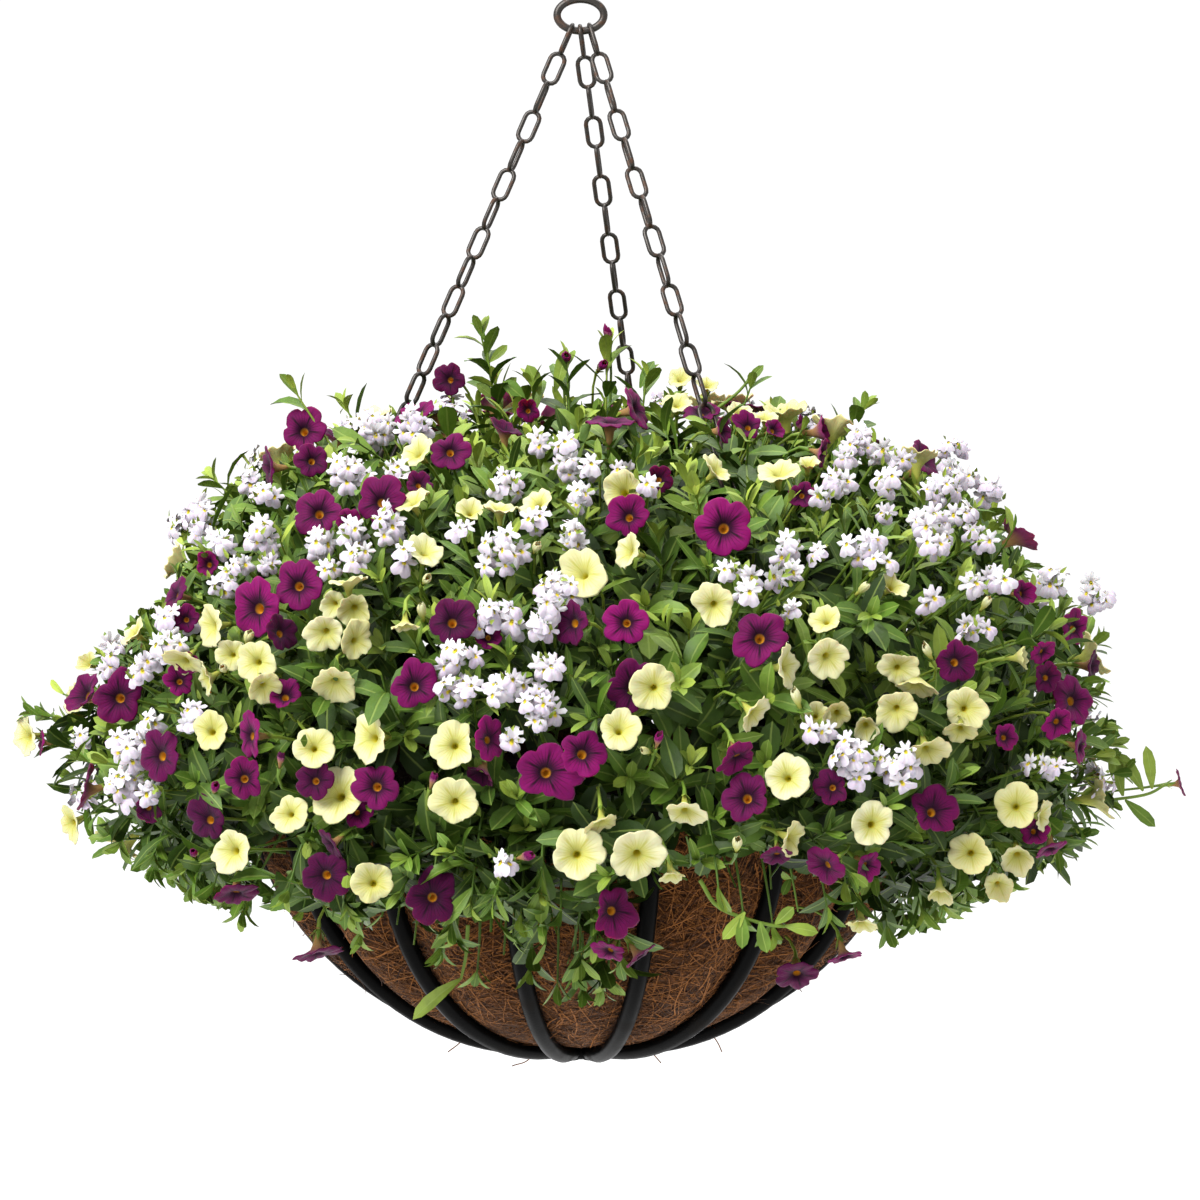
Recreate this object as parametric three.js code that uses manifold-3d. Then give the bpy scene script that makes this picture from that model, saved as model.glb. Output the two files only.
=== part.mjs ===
// A mixed flower hanging basket: a round wire basket with a coir liner and soil, hung by three
// chains from one hook, and planted with purple and yellow calibrachoa and white nemesia.
// Units are millimetres, +Z is up, -Y is the front. The origin is the bearing point of the hook,
// at the inside top of its open crook. The pieces are first laid out about the centre of the
// basket's rim, and the finished group is then lowered by RIM_DROP.
import * as THREE from "three";
import { mergeVertices } from "three/addons/utils/BufferGeometryUtils.js";
import Module from "manifold-3d";

const wasm = await Module();
wasm.setup();

// ---- Driving dimensions -------------------------------------------------------------------
const RIM_DROP = 428; // from the hook's bearing point down to the plane of the rim
const RIM_OUTER_RADIUS = 177; // a 14 inch basket
const RIM_WIRE = 9.4;
const RIB_WIRE = 8.8;
const RIB_COUNT = 16;
const BOWL_DEPTH = 160; // from the rim's plane to the lowest rib
const BOTTOM_RING_RADIUS = 20;
const LINER_THICKNESS = 10;
const LINER_BULGE = 4.5; // how far the coir swells out between two ribs
const SWELL_START = 0.1; // share of the swelling's fall that is reached at the rim's plane
const LINER_TOP = -9;
const LINER_GAP = 0.95; // between the ribs and the coir
const SOIL_LEVEL = -22;
const SOIL_GAP = 0.5;
const FIT_GAP = 0.3; // between two pieces that bear on each other

const CHAIN_AZIMUTHS = { left: 194.4, back: 71.8, right: -48.2 }; // degrees from +X
const CHAIN_APEX = 373; // height of the hook's lower eye over the rim
const CHAIN_SEATS = { left: -5, back: 0, right: 5 }; // along the wire of the lower eye
const LINK_PITCH = 16.4;
const LINK_WIRE = 2.4;
const LINK_HALF_WIDTH = 3.8; // to the middle of the wire
const LINK_BITE = 0.75; // how far two links are sunk in each other where they touch

const HOOK_WIRE = 4;
const CROOK_INNER_RADIUS = 13;
const CROOK_TURNS = [205, 170, 130, 90, 50, 10, -30]; // degrees round the crook, from tip to neck
const EYE_HALF_WIDTH = 12;
const EYE_HALF_HEIGHT = 8;
const CLIP_WIRE = 2.5;
const CLIP_RING_RADIUS = 5;
const CLIP_GRIP = [50, 5, -40, -85, -130, -165]; // degrees round the rim's wire, for each bend
const CLIP_RING_REACH = 18; // from the middle of the rim's wire to the middle of the clip's ring

const MOUND = { shift: 6, across: 262, deep: 250, up: 185, down: 105, power: 2.4 };
const FRINGE_CLEARANCE = 22; // how far the trailing stems hang in front of the bowl
const STALK_RADIUS = 2.2;
const STALK_SIDES = 3;
const STALK_DEPTH = 40; // how deep a stalk stands in the soil
const STEM_RADIUS = 0.9;
const MOST_TURN = 0.5; // cosine of the sharpest way in which a stem may leave its flower
const AZIMUTH_SWAY = 0.008; // radians for each millimetre that a stem gives way
const MOST_TRIES = 400;
const STRAIGHT_TRIES = 16; // how often a straight stem is tried before it bends
const HOLE_GAP = 0.8; // at the corners of a stalk's hole
const TEST_GAP = 0.35; // the air that is kept round each piece of a plant
const LEAF = { length: 26, share: 0.13, thickness: 1, setback: 14 };
const HEAD_DEPTH = 12; // from the face of a nemesia head back to its stem
const TUBE_SHARE = 0.75; // length of a bloom's tube for each unit of its radius
const TUBE_RADIUS = 1.8;
const BRANCH_STEP = 3.4; // between two stems along their stalk
const BRANCHED_SHARE = 0.8; // how much of a stalk may carry stems

// ---- The planting plan --------------------------------------------------------------------
// A front elevation on a sheet of 1200 x 1200 units, seen from EYE towards AIM, where a unit is
// 0.525 mm at the basket's axis. A bloom is [across, down, diameter, yaw, pitch]: yaw turns its
// face to the right and pitch turns it up, in degrees, and 0, 0 faces the eye.
const SHEET_UNIT = 0.525;
const SHEET_MIDDLE = 600;
const EYE = new THREE.Vector3(0, -1485, 209);
const AIM = new THREE.Vector3(10, 0, 80);
const EYE_LIFT = 8;

const PURPLE_BLOOMS = [
  [303, 430, 46, -12, 8], [312, 460, 37, 12, 8], [268, 467, 42, -75, -5], [319, 512, 49, 0, 15],
  [380, 501, 48, -15, 5], [450, 451, 42, 0, 12], [449, 379, 35, -25, 0],
  [298, 585, 51, -8, 0], [256, 607, 60, -30, 0], [282, 632, 42, 45, 10], [452, 621, 52, 0, 12],
  [414, 685, 50, 0, 8], [119, 697, 52, -5, 0], [159, 755, 52, -35, 0], [41, 742, 26, -80, 0],
  [85, 790, 44, -75, -15], [249, 735, 46, -50, 0], [244, 778, 44, 0, 0], [208, 819, 46, -25, 0],
  [236, 895, 44, 0, -65], [315, 780, 40, -8, 5], [376, 786, 50, -10, 0],
  [490, 739, 42, 45, 0], [330, 845, 34, -60, -40],
  [325, 875, 50, -15, -10], [432, 897, 54, 0, -5], [318, 955, 48, 0, -75], [572, 622, 48, -40, 0],
  [626, 622, 46, -10, 0], [628, 516, 44, -18, 8], [724, 527, 59, 0, 0], [760, 637, 57, 0, 5],
  [583, 752, 54, 15, 15], [546, 772, 59, 3, -4], [747, 797, 52, -8, 10], [738, 758, 40, 30, -60],
  [777, 856, 32, 0, -60], [613, 910, 50, 20, 0], [609, 952, 34, -30, -45], [640, 957, 36, 50, -50],
  [797, 976, 44, 0, -45], [845, 958, 40, 20, -60], [825, 866, 42, -50, -30],
  [833, 787, 36, 0, 0], [933, 811, 48, 15, 8], [956, 661, 45, 15, 5], [637, 408, 46, 70, 10],
  [611, 421, 50, 20, 70],
  [1043, 652, 26, 40, -30], [1074, 700, 50, 35, 0],
  [1058, 722, 34, 20, -20], [1081, 747, 34, 60, -20], [1181, 783, 26, 80, 0],
  [1051, 850, 34, 0, -70], [175, 594, 36, -60, 10],
];

const YELLOW_BLOOMS = [
  [134, 632, 34, -50, 30], [212, 626, 42, -55, -10], [257, 661, 42, -12, 0],
  [264, 686, 38, 20, -35], [184, 662, 40, -30, -40], [77, 699, 34, -50, 0],
  [27, 736, 38, -70, -10], [71, 823, 38, -50, -40], [211, 730, 44, -10, 10],
  [233, 850, 47, -30, 0], [290, 813, 37, -15, 10], [314, 747, 42, 0, 10], [371, 737, 53, -35, 0],
  [455, 745, 46, 0, 0], [455, 802, 48, 0, -15], [373, 882, 47, 0, 5], [335, 683, 46, 0, -50],
  [326, 632, 41, 0, -25], [405, 626, 32, 0, -70], [349, 582, 38, 0, 70],
  [425, 552, 38, 20, 50], [413, 502, 36, -40, 50], [417, 453, 38, -40, 30], [500, 509, 38, 0, 65],
  [538, 503, 36, -30, 30], [583, 573, 46, -30, 20], [629, 551, 38, -60, 10],
  [717, 470, 38, 45, 30], [714, 605, 44, 0, -25], [654, 687, 46, 0, -8], [619, 729, 44, 0, 20],
  [786, 666, 42, 60, 0], [754, 714, 40, 45, -40], [685, 813, 42, 0, -50], [602, 823, 34, 10, -65],
  [577, 854, 54, 0, -5], [637, 855, 52, 0, -25], [787, 777, 45, -15, 5], [792, 838, 40, 50, -20],
  [826, 620, 34, -20, 30], [828, 657, 44, 20, -30], [896, 709, 42, -10, -25],
  [965, 708, 42, 0, -5], [960, 730, 36, -10, -40], [927, 751, 44, 10, -45], [873, 824, 48, 10, -5],
  [1016, 806, 46, -10, 0], [1042, 816, 32, 60, -10], [971, 852, 44, -8, 0],
  [765, 418, 26, 0, 60],
];

// A nemesia head is [across, down, width, height].
const NEMESIA_HEADS = [
  [198, 515, 40, 56], [222, 542, 32, 30], [262, 535, 40, 40], [222, 580, 34, 36], [265, 490, 34, 30],
  [170, 618, 40, 30], [172, 645, 44, 34], [115, 648, 30, 36], [130, 745, 44, 44], [122, 785, 44, 44],
  [375, 428, 46, 44], [350, 470, 46, 40], [388, 523, 34, 44], [318, 543, 36, 34], [507, 482, 44, 34],
  [567, 455, 32, 56], [571, 533, 32, 38], [500, 550, 56, 50], [555, 588, 46, 36], [487, 614, 34, 36],
  [458, 655, 44, 36], [505, 686, 50, 32], [542, 700, 44, 40], [787, 550, 32, 30], [746, 592, 24, 28],
  [858, 441, 34, 46], [900, 460, 36, 30], [838, 480, 36, 36], [887, 511, 22, 18], [950, 446, 44, 30],
  [940, 490, 50, 34], [992, 490, 34, 36], [930, 525, 50, 44], [862, 545, 50, 34], [1050, 580, 34, 44],
  [1095, 596, 44, 40], [974, 626, 46, 26], [850, 755, 50, 44], [897, 767, 46, 44], [192, 712, 24, 40],
  [152, 720, 26, 22], [997, 577, 30, 30], [621, 469, 30, 20], [1040, 762, 30, 20],
];

// A shoot that stands out of the mound is [across, down] of its tip.
const OUTER_SHOOTS = [
  [478, 320], [493, 372], [566, 350], [608, 334], [648, 364], [530, 372], [755, 374], [785, 398],
  [808, 405], [288, 380], [340, 397], [1030, 563], [1105, 640], [1115, 730], [1118, 755],
  [1145, 760], [1150, 822], [1178, 800], [22, 710], [60, 700], [100, 650], [150, 868],
  [285, 908], [350, 925], [418, 1008], [450, 940], [540, 905], [580, 975], [609, 993], [690, 880],
  [745, 930], [775, 942], [800, 925], [925, 925], [1010, 895], [1090, 835], [205, 470], [870, 400],
];

const BUNCHES = { purple: 9, yellow: 9, nemesia: 8, leafy: 10 };
const FILL = { purple: 12, yellow: 12, nemesia: 8, leafy: 13 }; // behind and on the far sides
const FILL_SPACING = { purple: 56, yellow: 50, nemesia: 46, leafy: 40 };
const FILL_DIAMETER = 26; // of a bloom
const FILL_HEAD = 20; // across a nemesia head
const FILL_SWAY = 0.8; // how unevenly the blooms face outwards
const FILL_HEIGHTS = 2.9; // how steeply the fill climbs over the top
const SHELL_SHARE = { purple: 0.8, yellow: 0.72, nemesia: 0.64, leafy: 0.86 };
const STALK_SPREAD = 0.74; // how far out a stalk stands in the soil for each unit of its fork
const STALK_REACH = 138;
const FORK_LOWEST = 26; // a fork near the rim is this high and this far out, to clear the rim
const FORK_REACH = 160;
const FORK_FREE = 70; // a fork above this height may stand further out

// ---- Colours and finishes -----------------------------------------------------------------
const FINISH = {
  frame: { color: 0x151515, roughness: 0.45, metalness: 0.2 },
  coir: { color: 0x764a30, roughness: 0.95, metalness: 0 },
  soil: { color: 0x3a2a20, roughness: 1, metalness: 0 },
  steel: { color: 0x6a5f52, roughness: 0.5, metalness: 0.8 },
  purple: { color: 0x8c1478, roughness: 0.6, metalness: 0 },
  yellow: { color: 0xebebaa, roughness: 0.6, metalness: 0 },
  nemesia: { color: 0xe1d7eb, roughness: 0.6, metalness: 0 },
  leafy: { color: 0x5a8c32, roughness: 0.7, metalness: 0 },
};

const DEGREE = Math.PI / 180;
const UP = new THREE.Vector3(0, 0, 1);
const MOUND_CENTRE = new THREE.Vector3(MOUND.shift, 0, 0);
const RIM_RADIUS = RIM_OUTER_RADIUS - RIM_WIRE / 2;
const RIB_DEPTH = BOWL_DEPTH - RIB_WIRE / 2;

const vector = (x, y, z) => new THREE.Vector3(x, y, z);
const polar = (radius, azimuth, z) => vector(radius * Math.cos(azimuth), radius * Math.sin(azimuth), z);
const along = (point, direction, distance) => point.clone().addScaledVector(direction, distance);

/** A seeded generator of even numbers from 0 to 1. */
function seededRandom(seed) {
  let state = seed >>> 0;
  return () => {
    state = (state + 0x6d2b79f5) >>> 0;
    let mixed = Math.imul(state ^ (state >>> 15), state | 1);
    mixed = (mixed + Math.imul(mixed ^ (mixed >>> 7), mixed | 61)) ^ mixed;
    return ((mixed ^ (mixed >>> 14)) >>> 0) / 4294967296;
  };
}

// ---- Solids -------------------------------------------------------------------------------
/** The closed solid of a geometry, with doubled vertices merged and empty triangles dropped. */
function solidOf(geometry) {
  geometry.deleteAttribute("normal");
  geometry.deleteAttribute("uv");
  const merged = mergeVertices(geometry, 1e-3);
  const index = merged.index.array;
  const triangles = [];
  for (let i = 0; i < index.length; i += 3) {
    const [a, b, c] = [index[i], index[i + 1], index[i + 2]];
    if (a !== b && b !== c && c !== a) triangles.push(a, b, c);
  }
  const solid = new wasm.Manifold(new wasm.Mesh({
    numProp: 3,
    vertProperties: new Float32Array(merged.attributes.position.array),
    triVerts: new Uint32Array(triangles),
  }));
  if (solid.volume() <= 0) throw new Error("a solid is inside out");
  return solid;
}

/** The solid of a list of points and of triangles that name them. */
function facetedSolid(points, triangles) {
  const geometry = new THREE.BufferGeometry().setFromPoints(points);
  geometry.setIndex(triangles.flat());
  return solidOf(geometry);
}

/**
 * Rings of `sides` points square to the line through the points: a loop where `normal` closes it,
 * with the first ring square to `heading` and turned to `side` where they are given.
 */
function ringsAlong(points, radii, sides, { normal = null, heading = null, side = null } = {}) {
  const count = points.length;
  const direction = (i) => {
    const from = normal ? (i + count) % count : Math.min(Math.max(i, 0), count - 2);
    return points[(from + 1) % count].clone().sub(points[from]).normalize();
  };
  let across = normal ?? side;
  return points.map((point, i) => {
    const tangent = i === 0 && heading ? heading.clone() : direction(i - 1).add(direction(i)).normalize();
    across ??= Math.abs(tangent.z) < 0.8 ? UP : vector(1, 0, 0);
    across = across.clone().addScaledVector(tangent, -across.dot(tangent)).normalize();
    const mitre = normal ? 1 / direction(i).dot(tangent) : 1;
    const other = tangent.clone().cross(across).multiplyScalar(mitre);
    return Array.from({ length: sides }, (_, k) => {
      const turn = (2 * Math.PI * (k + 0.5)) / sides;
      return along(along(point, across, radii[i] * Math.cos(turn)), other, radii[i] * Math.sin(turn));
    });
  });
}

/** The triangles between two neighbouring rings, named by their first points. */
function ringWall(low, high, sides) {
  return Array.from({ length: sides }, (_, k) => {
    const next = (k + 1) % sides;
    return [[low + k, low + next, high + next], [low + k, high + next, high + k]];
  }).flat();
}

/** A wire or stem of `sides` sides through the points, a loop where `normal` closes it. */
function wire(points, radius, sides, normal = null, side = null) {
  const rings = ringsAlong(points, points.map(() => radius), sides, { normal, side });
  const spans = normal ? points.length : points.length - 1;
  const triangles = Array.from({ length: spans }, (_, i) => (
    ringWall(i * sides, ((i + 1) % points.length) * sides, sides))).flat();
  if (!normal) {
    const last = spans * sides;
    for (let k = 1; k < sides - 1; k += 1) triangles.push([0, k + 1, k], [last, last + k, last + k + 1]);
  }
  return facetedSolid(rings.flat(), triangles);
}

/**
 * A flower, head or whorl of leaves with its stem: the rim runs anticlockwise as seen from the
 * front, round the front point, and closes behind on a three-sided stem along the way.
 */
function whorl(rim, front, face, way, radii) {
  const rings = ringsAlong(way, radii, 3, { heading: face.clone().negate() });
  const [right, up] = sideways(face);
  const angle = (point) => {
    const arm = point.clone().sub(way[0]);
    return Math.atan2(arm.dot(right), arm.dot(up));
  };
  const neck = rings[0].map(angle);
  const nearest = (turn) => {
    const gaps = neck.map((other) => Math.abs(Math.atan2(Math.sin(turn - other), Math.cos(turn - other))));
    return gaps.indexOf(Math.min(...gaps));
  };
  const count = rim.length;
  const stem = count + 1;
  const picks = rim.map((point, i) => nearest(angle(point.clone().lerp(rim[(i + 1) % count], 0.5))));
  const triangles = [];
  for (let i = 0; i < count; i += 1) {
    const next = (i + 1) % count;
    triangles.push([count, i, next], [stem + picks[i], next, i]);
    if (picks[next] !== picks[i]) triangles.push([stem + picks[next], next, stem + picks[i]]);
  }
  for (let i = 0; i < way.length - 1; i += 1) triangles.push(...ringWall(stem + 3 * i, stem + 3 * i + 3, 3));
  const last = stem + 3 * (way.length - 1);
  triangles.push([last, last + 1, last + 2]);
  return facetedSolid([...rim, front, ...rings.flat()], triangles);
}

const joined = (solids) => solids.reduce((whole, piece) => whole.add(piece));

/** The named mesh of a solid, which has to be one body. */
function meshOf(name, solid, finish) {
  const bodies = solid.decompose();
  const whole = bodies.sort((a, b) => b.volume() - a.volume())[0];
  if (bodies.length > 1 && bodies[1].volume() > 0.05) throw new Error(`${name} falls apart`);
  const { vertProperties, triVerts } = whole.getMesh();
  const geometry = new THREE.BufferGeometry();
  geometry.setAttribute("position", new THREE.BufferAttribute(new Float32Array(vertProperties), 3));
  geometry.setIndex(new THREE.BufferAttribute(new Uint32Array(triVerts), 1));
  geometry.computeVertexNormals();
  const mesh = new THREE.Mesh(geometry, new THREE.MeshStandardMaterial({ flatShading: true, ...finish }));
  mesh.name = name;
  return mesh;
}

// ---- The basket, its liner and the soil ---------------------------------------------------
const RIB_STEPS = 6;
const AROUND = 2 * RIB_COUNT; // facets round the bowl: a rib and a mid-bay in turn
const LINER_RADIUS = RIM_RADIUS - RIB_WIRE / 2 - LINER_GAP;
const LINER_DEPTH = RIB_DEPTH - RIB_WIRE / 2 - LINER_GAP;
const LAST_RIB_ANGLE = Math.acos(BOTTOM_RING_RADIUS / RIM_RADIUS);
const FIRST_LINER_ANGLE = Math.asin(-LINER_TOP / LINER_DEPTH);
const INSIDE_RADIUS = LINER_RADIUS - LINER_THICKNESS;
const INSIDE_DEPTH = LINER_DEPTH - LINER_THICKNESS;
const INSIDE_BENDS = [0.55, 1, 1.35]; // radians down the bowl at which the inner wall bends
const INSIDE_ANGLES = [Math.asin(-SOIL_LEVEL / INSIDE_DEPTH), ...INSIDE_BENDS, Math.PI / 2];

/** The angles down the bowl at which ribs and liner bend alike. */
function bowlAngles(first, last) {
  const angles = [first];
  for (let i = 1; i <= RIB_STEPS; i += 1) {
    const angle = (LAST_RIB_ANGLE * i) / RIB_STEPS;
    if (angle > first + 0.02) angles.push(angle);
  }
  if (last > angles.at(-1) + 0.02) angles.push(last);
  return angles;
}

const ribAzimuth = (index) => ((index + 0.5) * 2 * Math.PI) / RIB_COUNT - Math.PI / 2;

/** The centre line of a rib, from inside the rim's wire to the bottom ring. */
function ribLine(index) {
  const angles = bowlAngles(0, LAST_RIB_ANGLE);
  return angles.map((a) => polar(RIM_RADIUS * Math.cos(a), ribAzimuth(index), -RIB_DEPTH * Math.sin(a)));
}

/** The rim's ring. */
function rimSolid() {
  const ring = new THREE.TorusGeometry(RIM_RADIUS, RIM_WIRE / 2, 4, AROUND);
  return solidOf(ring.rotateZ(Math.PI / AROUND));
}

/** One rib of the bowl. */
function ribSolid(index) {
  return wire(ribLine(index), RIB_WIRE / 2, 3, null, polar(1, ribAzimuth(index), 0));
}

/** The ring in which the ribs meet under the bowl. */
function bottomRingSolid() {
  const ring = new THREE.TorusGeometry(BOTTOM_RING_RADIUS, RIB_WIRE / 2, 4, RIB_COUNT);
  ring.translate(0, 0, -RIB_DEPTH * Math.sin(LAST_RIB_ANGLE));
  return solidOf(ring);
}

/** A turned solid whose profile is a list of [radius, height]. */
function turned(profile, facets) {
  const points = profile.map(([radius, height]) => new THREE.Vector2(radius, height));
  return new THREE.LatheGeometry(points, facets).rotateX(Math.PI / 2);
}

/** An elliptic wall of the bowl as [radius, height] at the given angles. */
const wallOf = (radius, depth, angles) => angles.map((a) => [
  Math.max(radius * Math.cos(a), 0), -depth * Math.sin(a),
]);

/** The coir liner, swollen between the ribs. */
function linerSolid() {
  const outside = wallOf(LINER_RADIUS, LINER_DEPTH, bowlAngles(FIRST_LINER_ANGLE, Math.PI / 2));
  const topAngle = Math.asin(-LINER_TOP / INSIDE_DEPTH);
  const inside = wallOf(INSIDE_RADIUS, INSIDE_DEPTH, [topAngle, ...INSIDE_ANGLES]);
  const geometry = turned([...outside.reverse(), ...inside], AROUND);
  const corners = geometry.attributes.position;
  const rows = outside.length + inside.length;
  for (let i = 0; i < corners.count; i += 1) {
    const radius = Math.hypot(corners.getX(i), corners.getY(i));
    const isMidBay = Math.floor(i / rows) % 2 === 0;
    if (i % rows < outside.length && isMidBay && radius > 1) {
      const fall = Math.min(1, SWELL_START - corners.getZ(i) / LINER_DEPTH);
      const swell = 1 + (LINER_BULGE * Math.sin(Math.PI * fall)) / radius;
      corners.setXY(i, corners.getX(i) * swell, corners.getY(i) * swell);
    }
  }
  return solidOf(geometry);
}

/** The soil in the liner, without the holes of the stalks. */
function soilSolid() {
  const wall = wallOf(INSIDE_RADIUS - SOIL_GAP, INSIDE_DEPTH - SOIL_GAP, INSIDE_ANGLES);
  return solidOf(turned([...wall.reverse(), [0, wall.at(-1)[1]]], RIB_COUNT));
}

// ---- The hook, the chains and the clips ---------------------------------------------------
const EYE_MIDDLE = CHAIN_APEX + EYE_HALF_HEIGHT;
const HOOK_RADIUS = CROOK_INNER_RADIUS + HOOK_WIRE / 2;
const CROOK_MIDDLE = RIM_DROP - CROOK_INNER_RADIUS;

/** The hook: an open crook over a closed eye in which the chains hang. */
function hookSolid() {
  const eye = Array.from({ length: 12 }, (_, i) => {
    const turn = (i * Math.PI) / 6;
    return vector(EYE_HALF_WIDTH * Math.cos(turn), 0, EYE_MIDDLE + EYE_HALF_HEIGHT * Math.sin(turn));
  });
  const crook = CROOK_TURNS.map((degrees) => vector(
    HOOK_RADIUS * Math.cos(degrees * DEGREE), 0, CROOK_MIDDLE + HOOK_RADIUS * Math.sin(degrees * DEGREE),
  ));
  const neck = EYE_MIDDLE + EYE_HALF_HEIGHT;
  crook.push(vector(5, 0, (neck + CROOK_MIDDLE - HOOK_RADIUS) / 2 + 3), vector(0, 0, neck + 3));
  crook.push(vector(0, 0, neck - 0.6));
  return wire(eye, HOOK_WIRE / 2, 4, vector(0, 1, 0)).add(wire(crook, HOOK_WIRE / 2, 4));
}

/** Where a chain hangs on the eye, where its clip holds it, and its frame along the way. */
function chainLine(side) {
  const azimuth = CHAIN_AZIMUTHS[side] * DEGREE;
  const seat = CHAIN_SEATS[side];
  const lift = EYE_HALF_HEIGHT * Math.sqrt(1 - (seat / EYE_HALF_WIDTH) ** 2);
  const top = vector(seat, 0, EYE_MIDDLE - lift);
  const rim = polar(RIM_RADIUS, azimuth, 0);
  const down = rim.clone().sub(top).normalize();
  const tangent = vector(-Math.sin(azimuth), Math.cos(azimuth), 0);
  tangent.addScaledVector(down, -tangent.dot(down)).normalize();
  return { top, rim, down, tangent, outward: tangent.clone().cross(down).normalize() };
}

/** The hard clip that grips the rim and carries the last link of a chain. */
function clipSolid(side) {
  const { rim, down, tangent, outward } = chainLine(side);
  const spread = RIM_WIRE / 2 + FIT_GAP + 0.1 + CLIP_WIRE / 2;
  const at = (sideways, up) => along(along(rim, outward, sideways), down, -up);
  const sense = outward.x * rim.x + outward.y * rim.y > 0 ? 1 : -1;
  const grip = CLIP_GRIP.map((degrees) => (
    at(sense * spread * Math.cos(degrees * DEGREE), spread * Math.sin(degrees * DEGREE))));
  const ringFoot = CLIP_RING_REACH - CLIP_RING_RADIUS;
  grip.push(at(-sense * spread, 3), at(-sense * spread * 0.55, ringFoot - 3), at(0, ringFoot + 0.3));
  const ring = Array.from({ length: 6 }, (_, i) => at(
    CLIP_RING_RADIUS * Math.cos(((i + 0.5) * Math.PI) / 3),
    CLIP_RING_REACH + CLIP_RING_RADIUS * Math.sin(((i + 0.5) * Math.PI) / 3),
  ));
  return wire(ring, CLIP_WIRE / 2, 3, tangent).add(wire(grip, CLIP_WIRE / 2, 3));
}

/** One link, `half` long from its middle along `down`, and wide along `across`. */
function linkSolid(middle, half, down, across) {
  const outline = [[-1, half], [1, half], [1, -half], [-1, -half]];
  const points = outline.map(([side, height]) => (
    along(along(middle, across, side * LINK_HALF_WIDTH), down, height)));
  return wire(points, LINK_WIRE / 2, 3, across.clone().cross(down).normalize());
}

/** The links of a chain, each a quarter turn from the last, with an even slight twist. */
function chainLinks(side) {
  const { top, rim, down, tangent, outward } = chainLine(side);
  const topSeat = HOOK_WIRE / 2 + LINK_WIRE / 2 + FIT_GAP + 0.1;
  const clipSeat = CLIP_RING_REACH + CLIP_RING_RADIUS - (CLIP_WIRE / 2 + LINK_WIRE / 2 + FIT_GAP);
  const span = rim.distanceTo(top) + topSeat - clipSeat;
  const steps = Math.round(span / LINK_PITCH) - 1;
  const half = (span + steps * (LINK_WIRE - LINK_BITE)) / (2 * (steps + 1));
  const pitch = 2 * half - LINK_WIRE + LINK_BITE;
  const eyeWire = vector(1, 0, 0).addScaledVector(down, -down.x).normalize();
  const firstAcross = down.clone().cross(eyeWire);
  const firstTurn = Math.atan2(firstAcross.dot(outward), firstAcross.dot(tangent));
  const halfTurns = Math.round((firstTurn + (steps * Math.PI) / 2) / Math.PI);
  const turnStep = (halfTurns * Math.PI - firstTurn) / steps;
  return Array.from({ length: steps + 1 }, (_, i) => {
    const turn = firstTurn + i * turnStep;
    const across = tangent.clone().multiplyScalar(Math.cos(turn)).addScaledVector(outward, Math.sin(turn));
    return linkSolid(along(top, down, half - topSeat + i * pitch), half, down, across);
  });
}

// ---- The mound of flowers -----------------------------------------------------------------
/** Below 1 inside the mound, 1 on its surface. */
function moundField(point) {
  const height = point.z > 0 ? MOUND.up : MOUND.down;
  return (Math.abs(point.x - MOUND.shift) / MOUND.across) ** MOUND.power
    + (Math.abs(point.y) / MOUND.deep) ** MOUND.power
    + (Math.abs(point.z) / height) ** MOUND.power;
}

/** Below 1 inside the skirt of trailing stems round the bowl. */
function fringeField(point) {
  if (point.z > 0 || point.z < -125) return Infinity;
  const radius = Math.hypot(point.x, point.y) / (RIM_OUTER_RADIUS + FRINGE_CLEARANCE);
  return radius ** 2 + (point.z / (BOWL_DEPTH + FRINGE_CLEARANCE)) ** 2;
}

/** The outward direction of the mound at a point. */
function moundNormal(point) {
  const step = 0.5;
  const slope = (axis) => moundField(along(point, axis, step)) - moundField(along(point, axis, -step));
  return vector(slope(vector(1, 0, 0)), slope(vector(0, 1, 0)), slope(UP)).normalize();
}

/** The sight line from EYE through a place on the plan. */
function sightLine(across, down) {
  const ahead = AIM.clone().sub(EYE).normalize();
  const right = ahead.clone().cross(UP).normalize();
  const up = right.clone().cross(ahead);
  const distance = EYE.length() / SHEET_UNIT;
  return ahead.multiplyScalar(distance).addScaledVector(right, across - SHEET_MIDDLE)
    .addScaledVector(up, SHEET_MIDDLE - down).normalize();
}

/** Where the sight line of a place on the plan meets the mound, or the plane of its axis. */
function seatOnMound(across, down) {
  const sight = sightLine(across, down);
  for (let distance = 1150; distance < 1560; distance += 2) {
    const point = along(EYE, sight, distance);
    if (moundField(point) < 1 || fringeField(point) < 1) return point;
  }
  return along(EYE, sight, -EYE.y / sight.y);
}

/** A direction turned from the eye by yaw to the right and pitch upwards. */
function facing(yaw, pitch) {
  const lift = (pitch + EYE_LIFT) * DEGREE;
  const turn = yaw * DEGREE;
  return vector(Math.sin(turn) * Math.cos(lift), -Math.cos(turn) * Math.cos(lift), Math.sin(lift));
}

/** Places on the back and far sides of the mound, spread by a seeded draw. */
function fillPlaces(count, spacing, seed, taken) {
  const random = seededRandom(seed);
  const places = [];
  for (let tries = 0; tries < 4000 && places.length < count; tries += 1) {
    const azimuth = random() * Math.PI;
    const height = random() * FILL_HEIGHTS - 0.5;
    const ray = vector(Math.cos(azimuth), Math.sin(azimuth), height);
    const scale = moundField(along(MOUND_CENTRE, ray, 1)) ** (-1 / MOUND.power);
    const point = along(MOUND_CENTRE, ray, scale);
    const open = point.y > 18 && [...taken, ...places].every((other) => other.distanceTo(point) > spacing);
    if (open) places.push(point);
  }
  return places;
}

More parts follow.
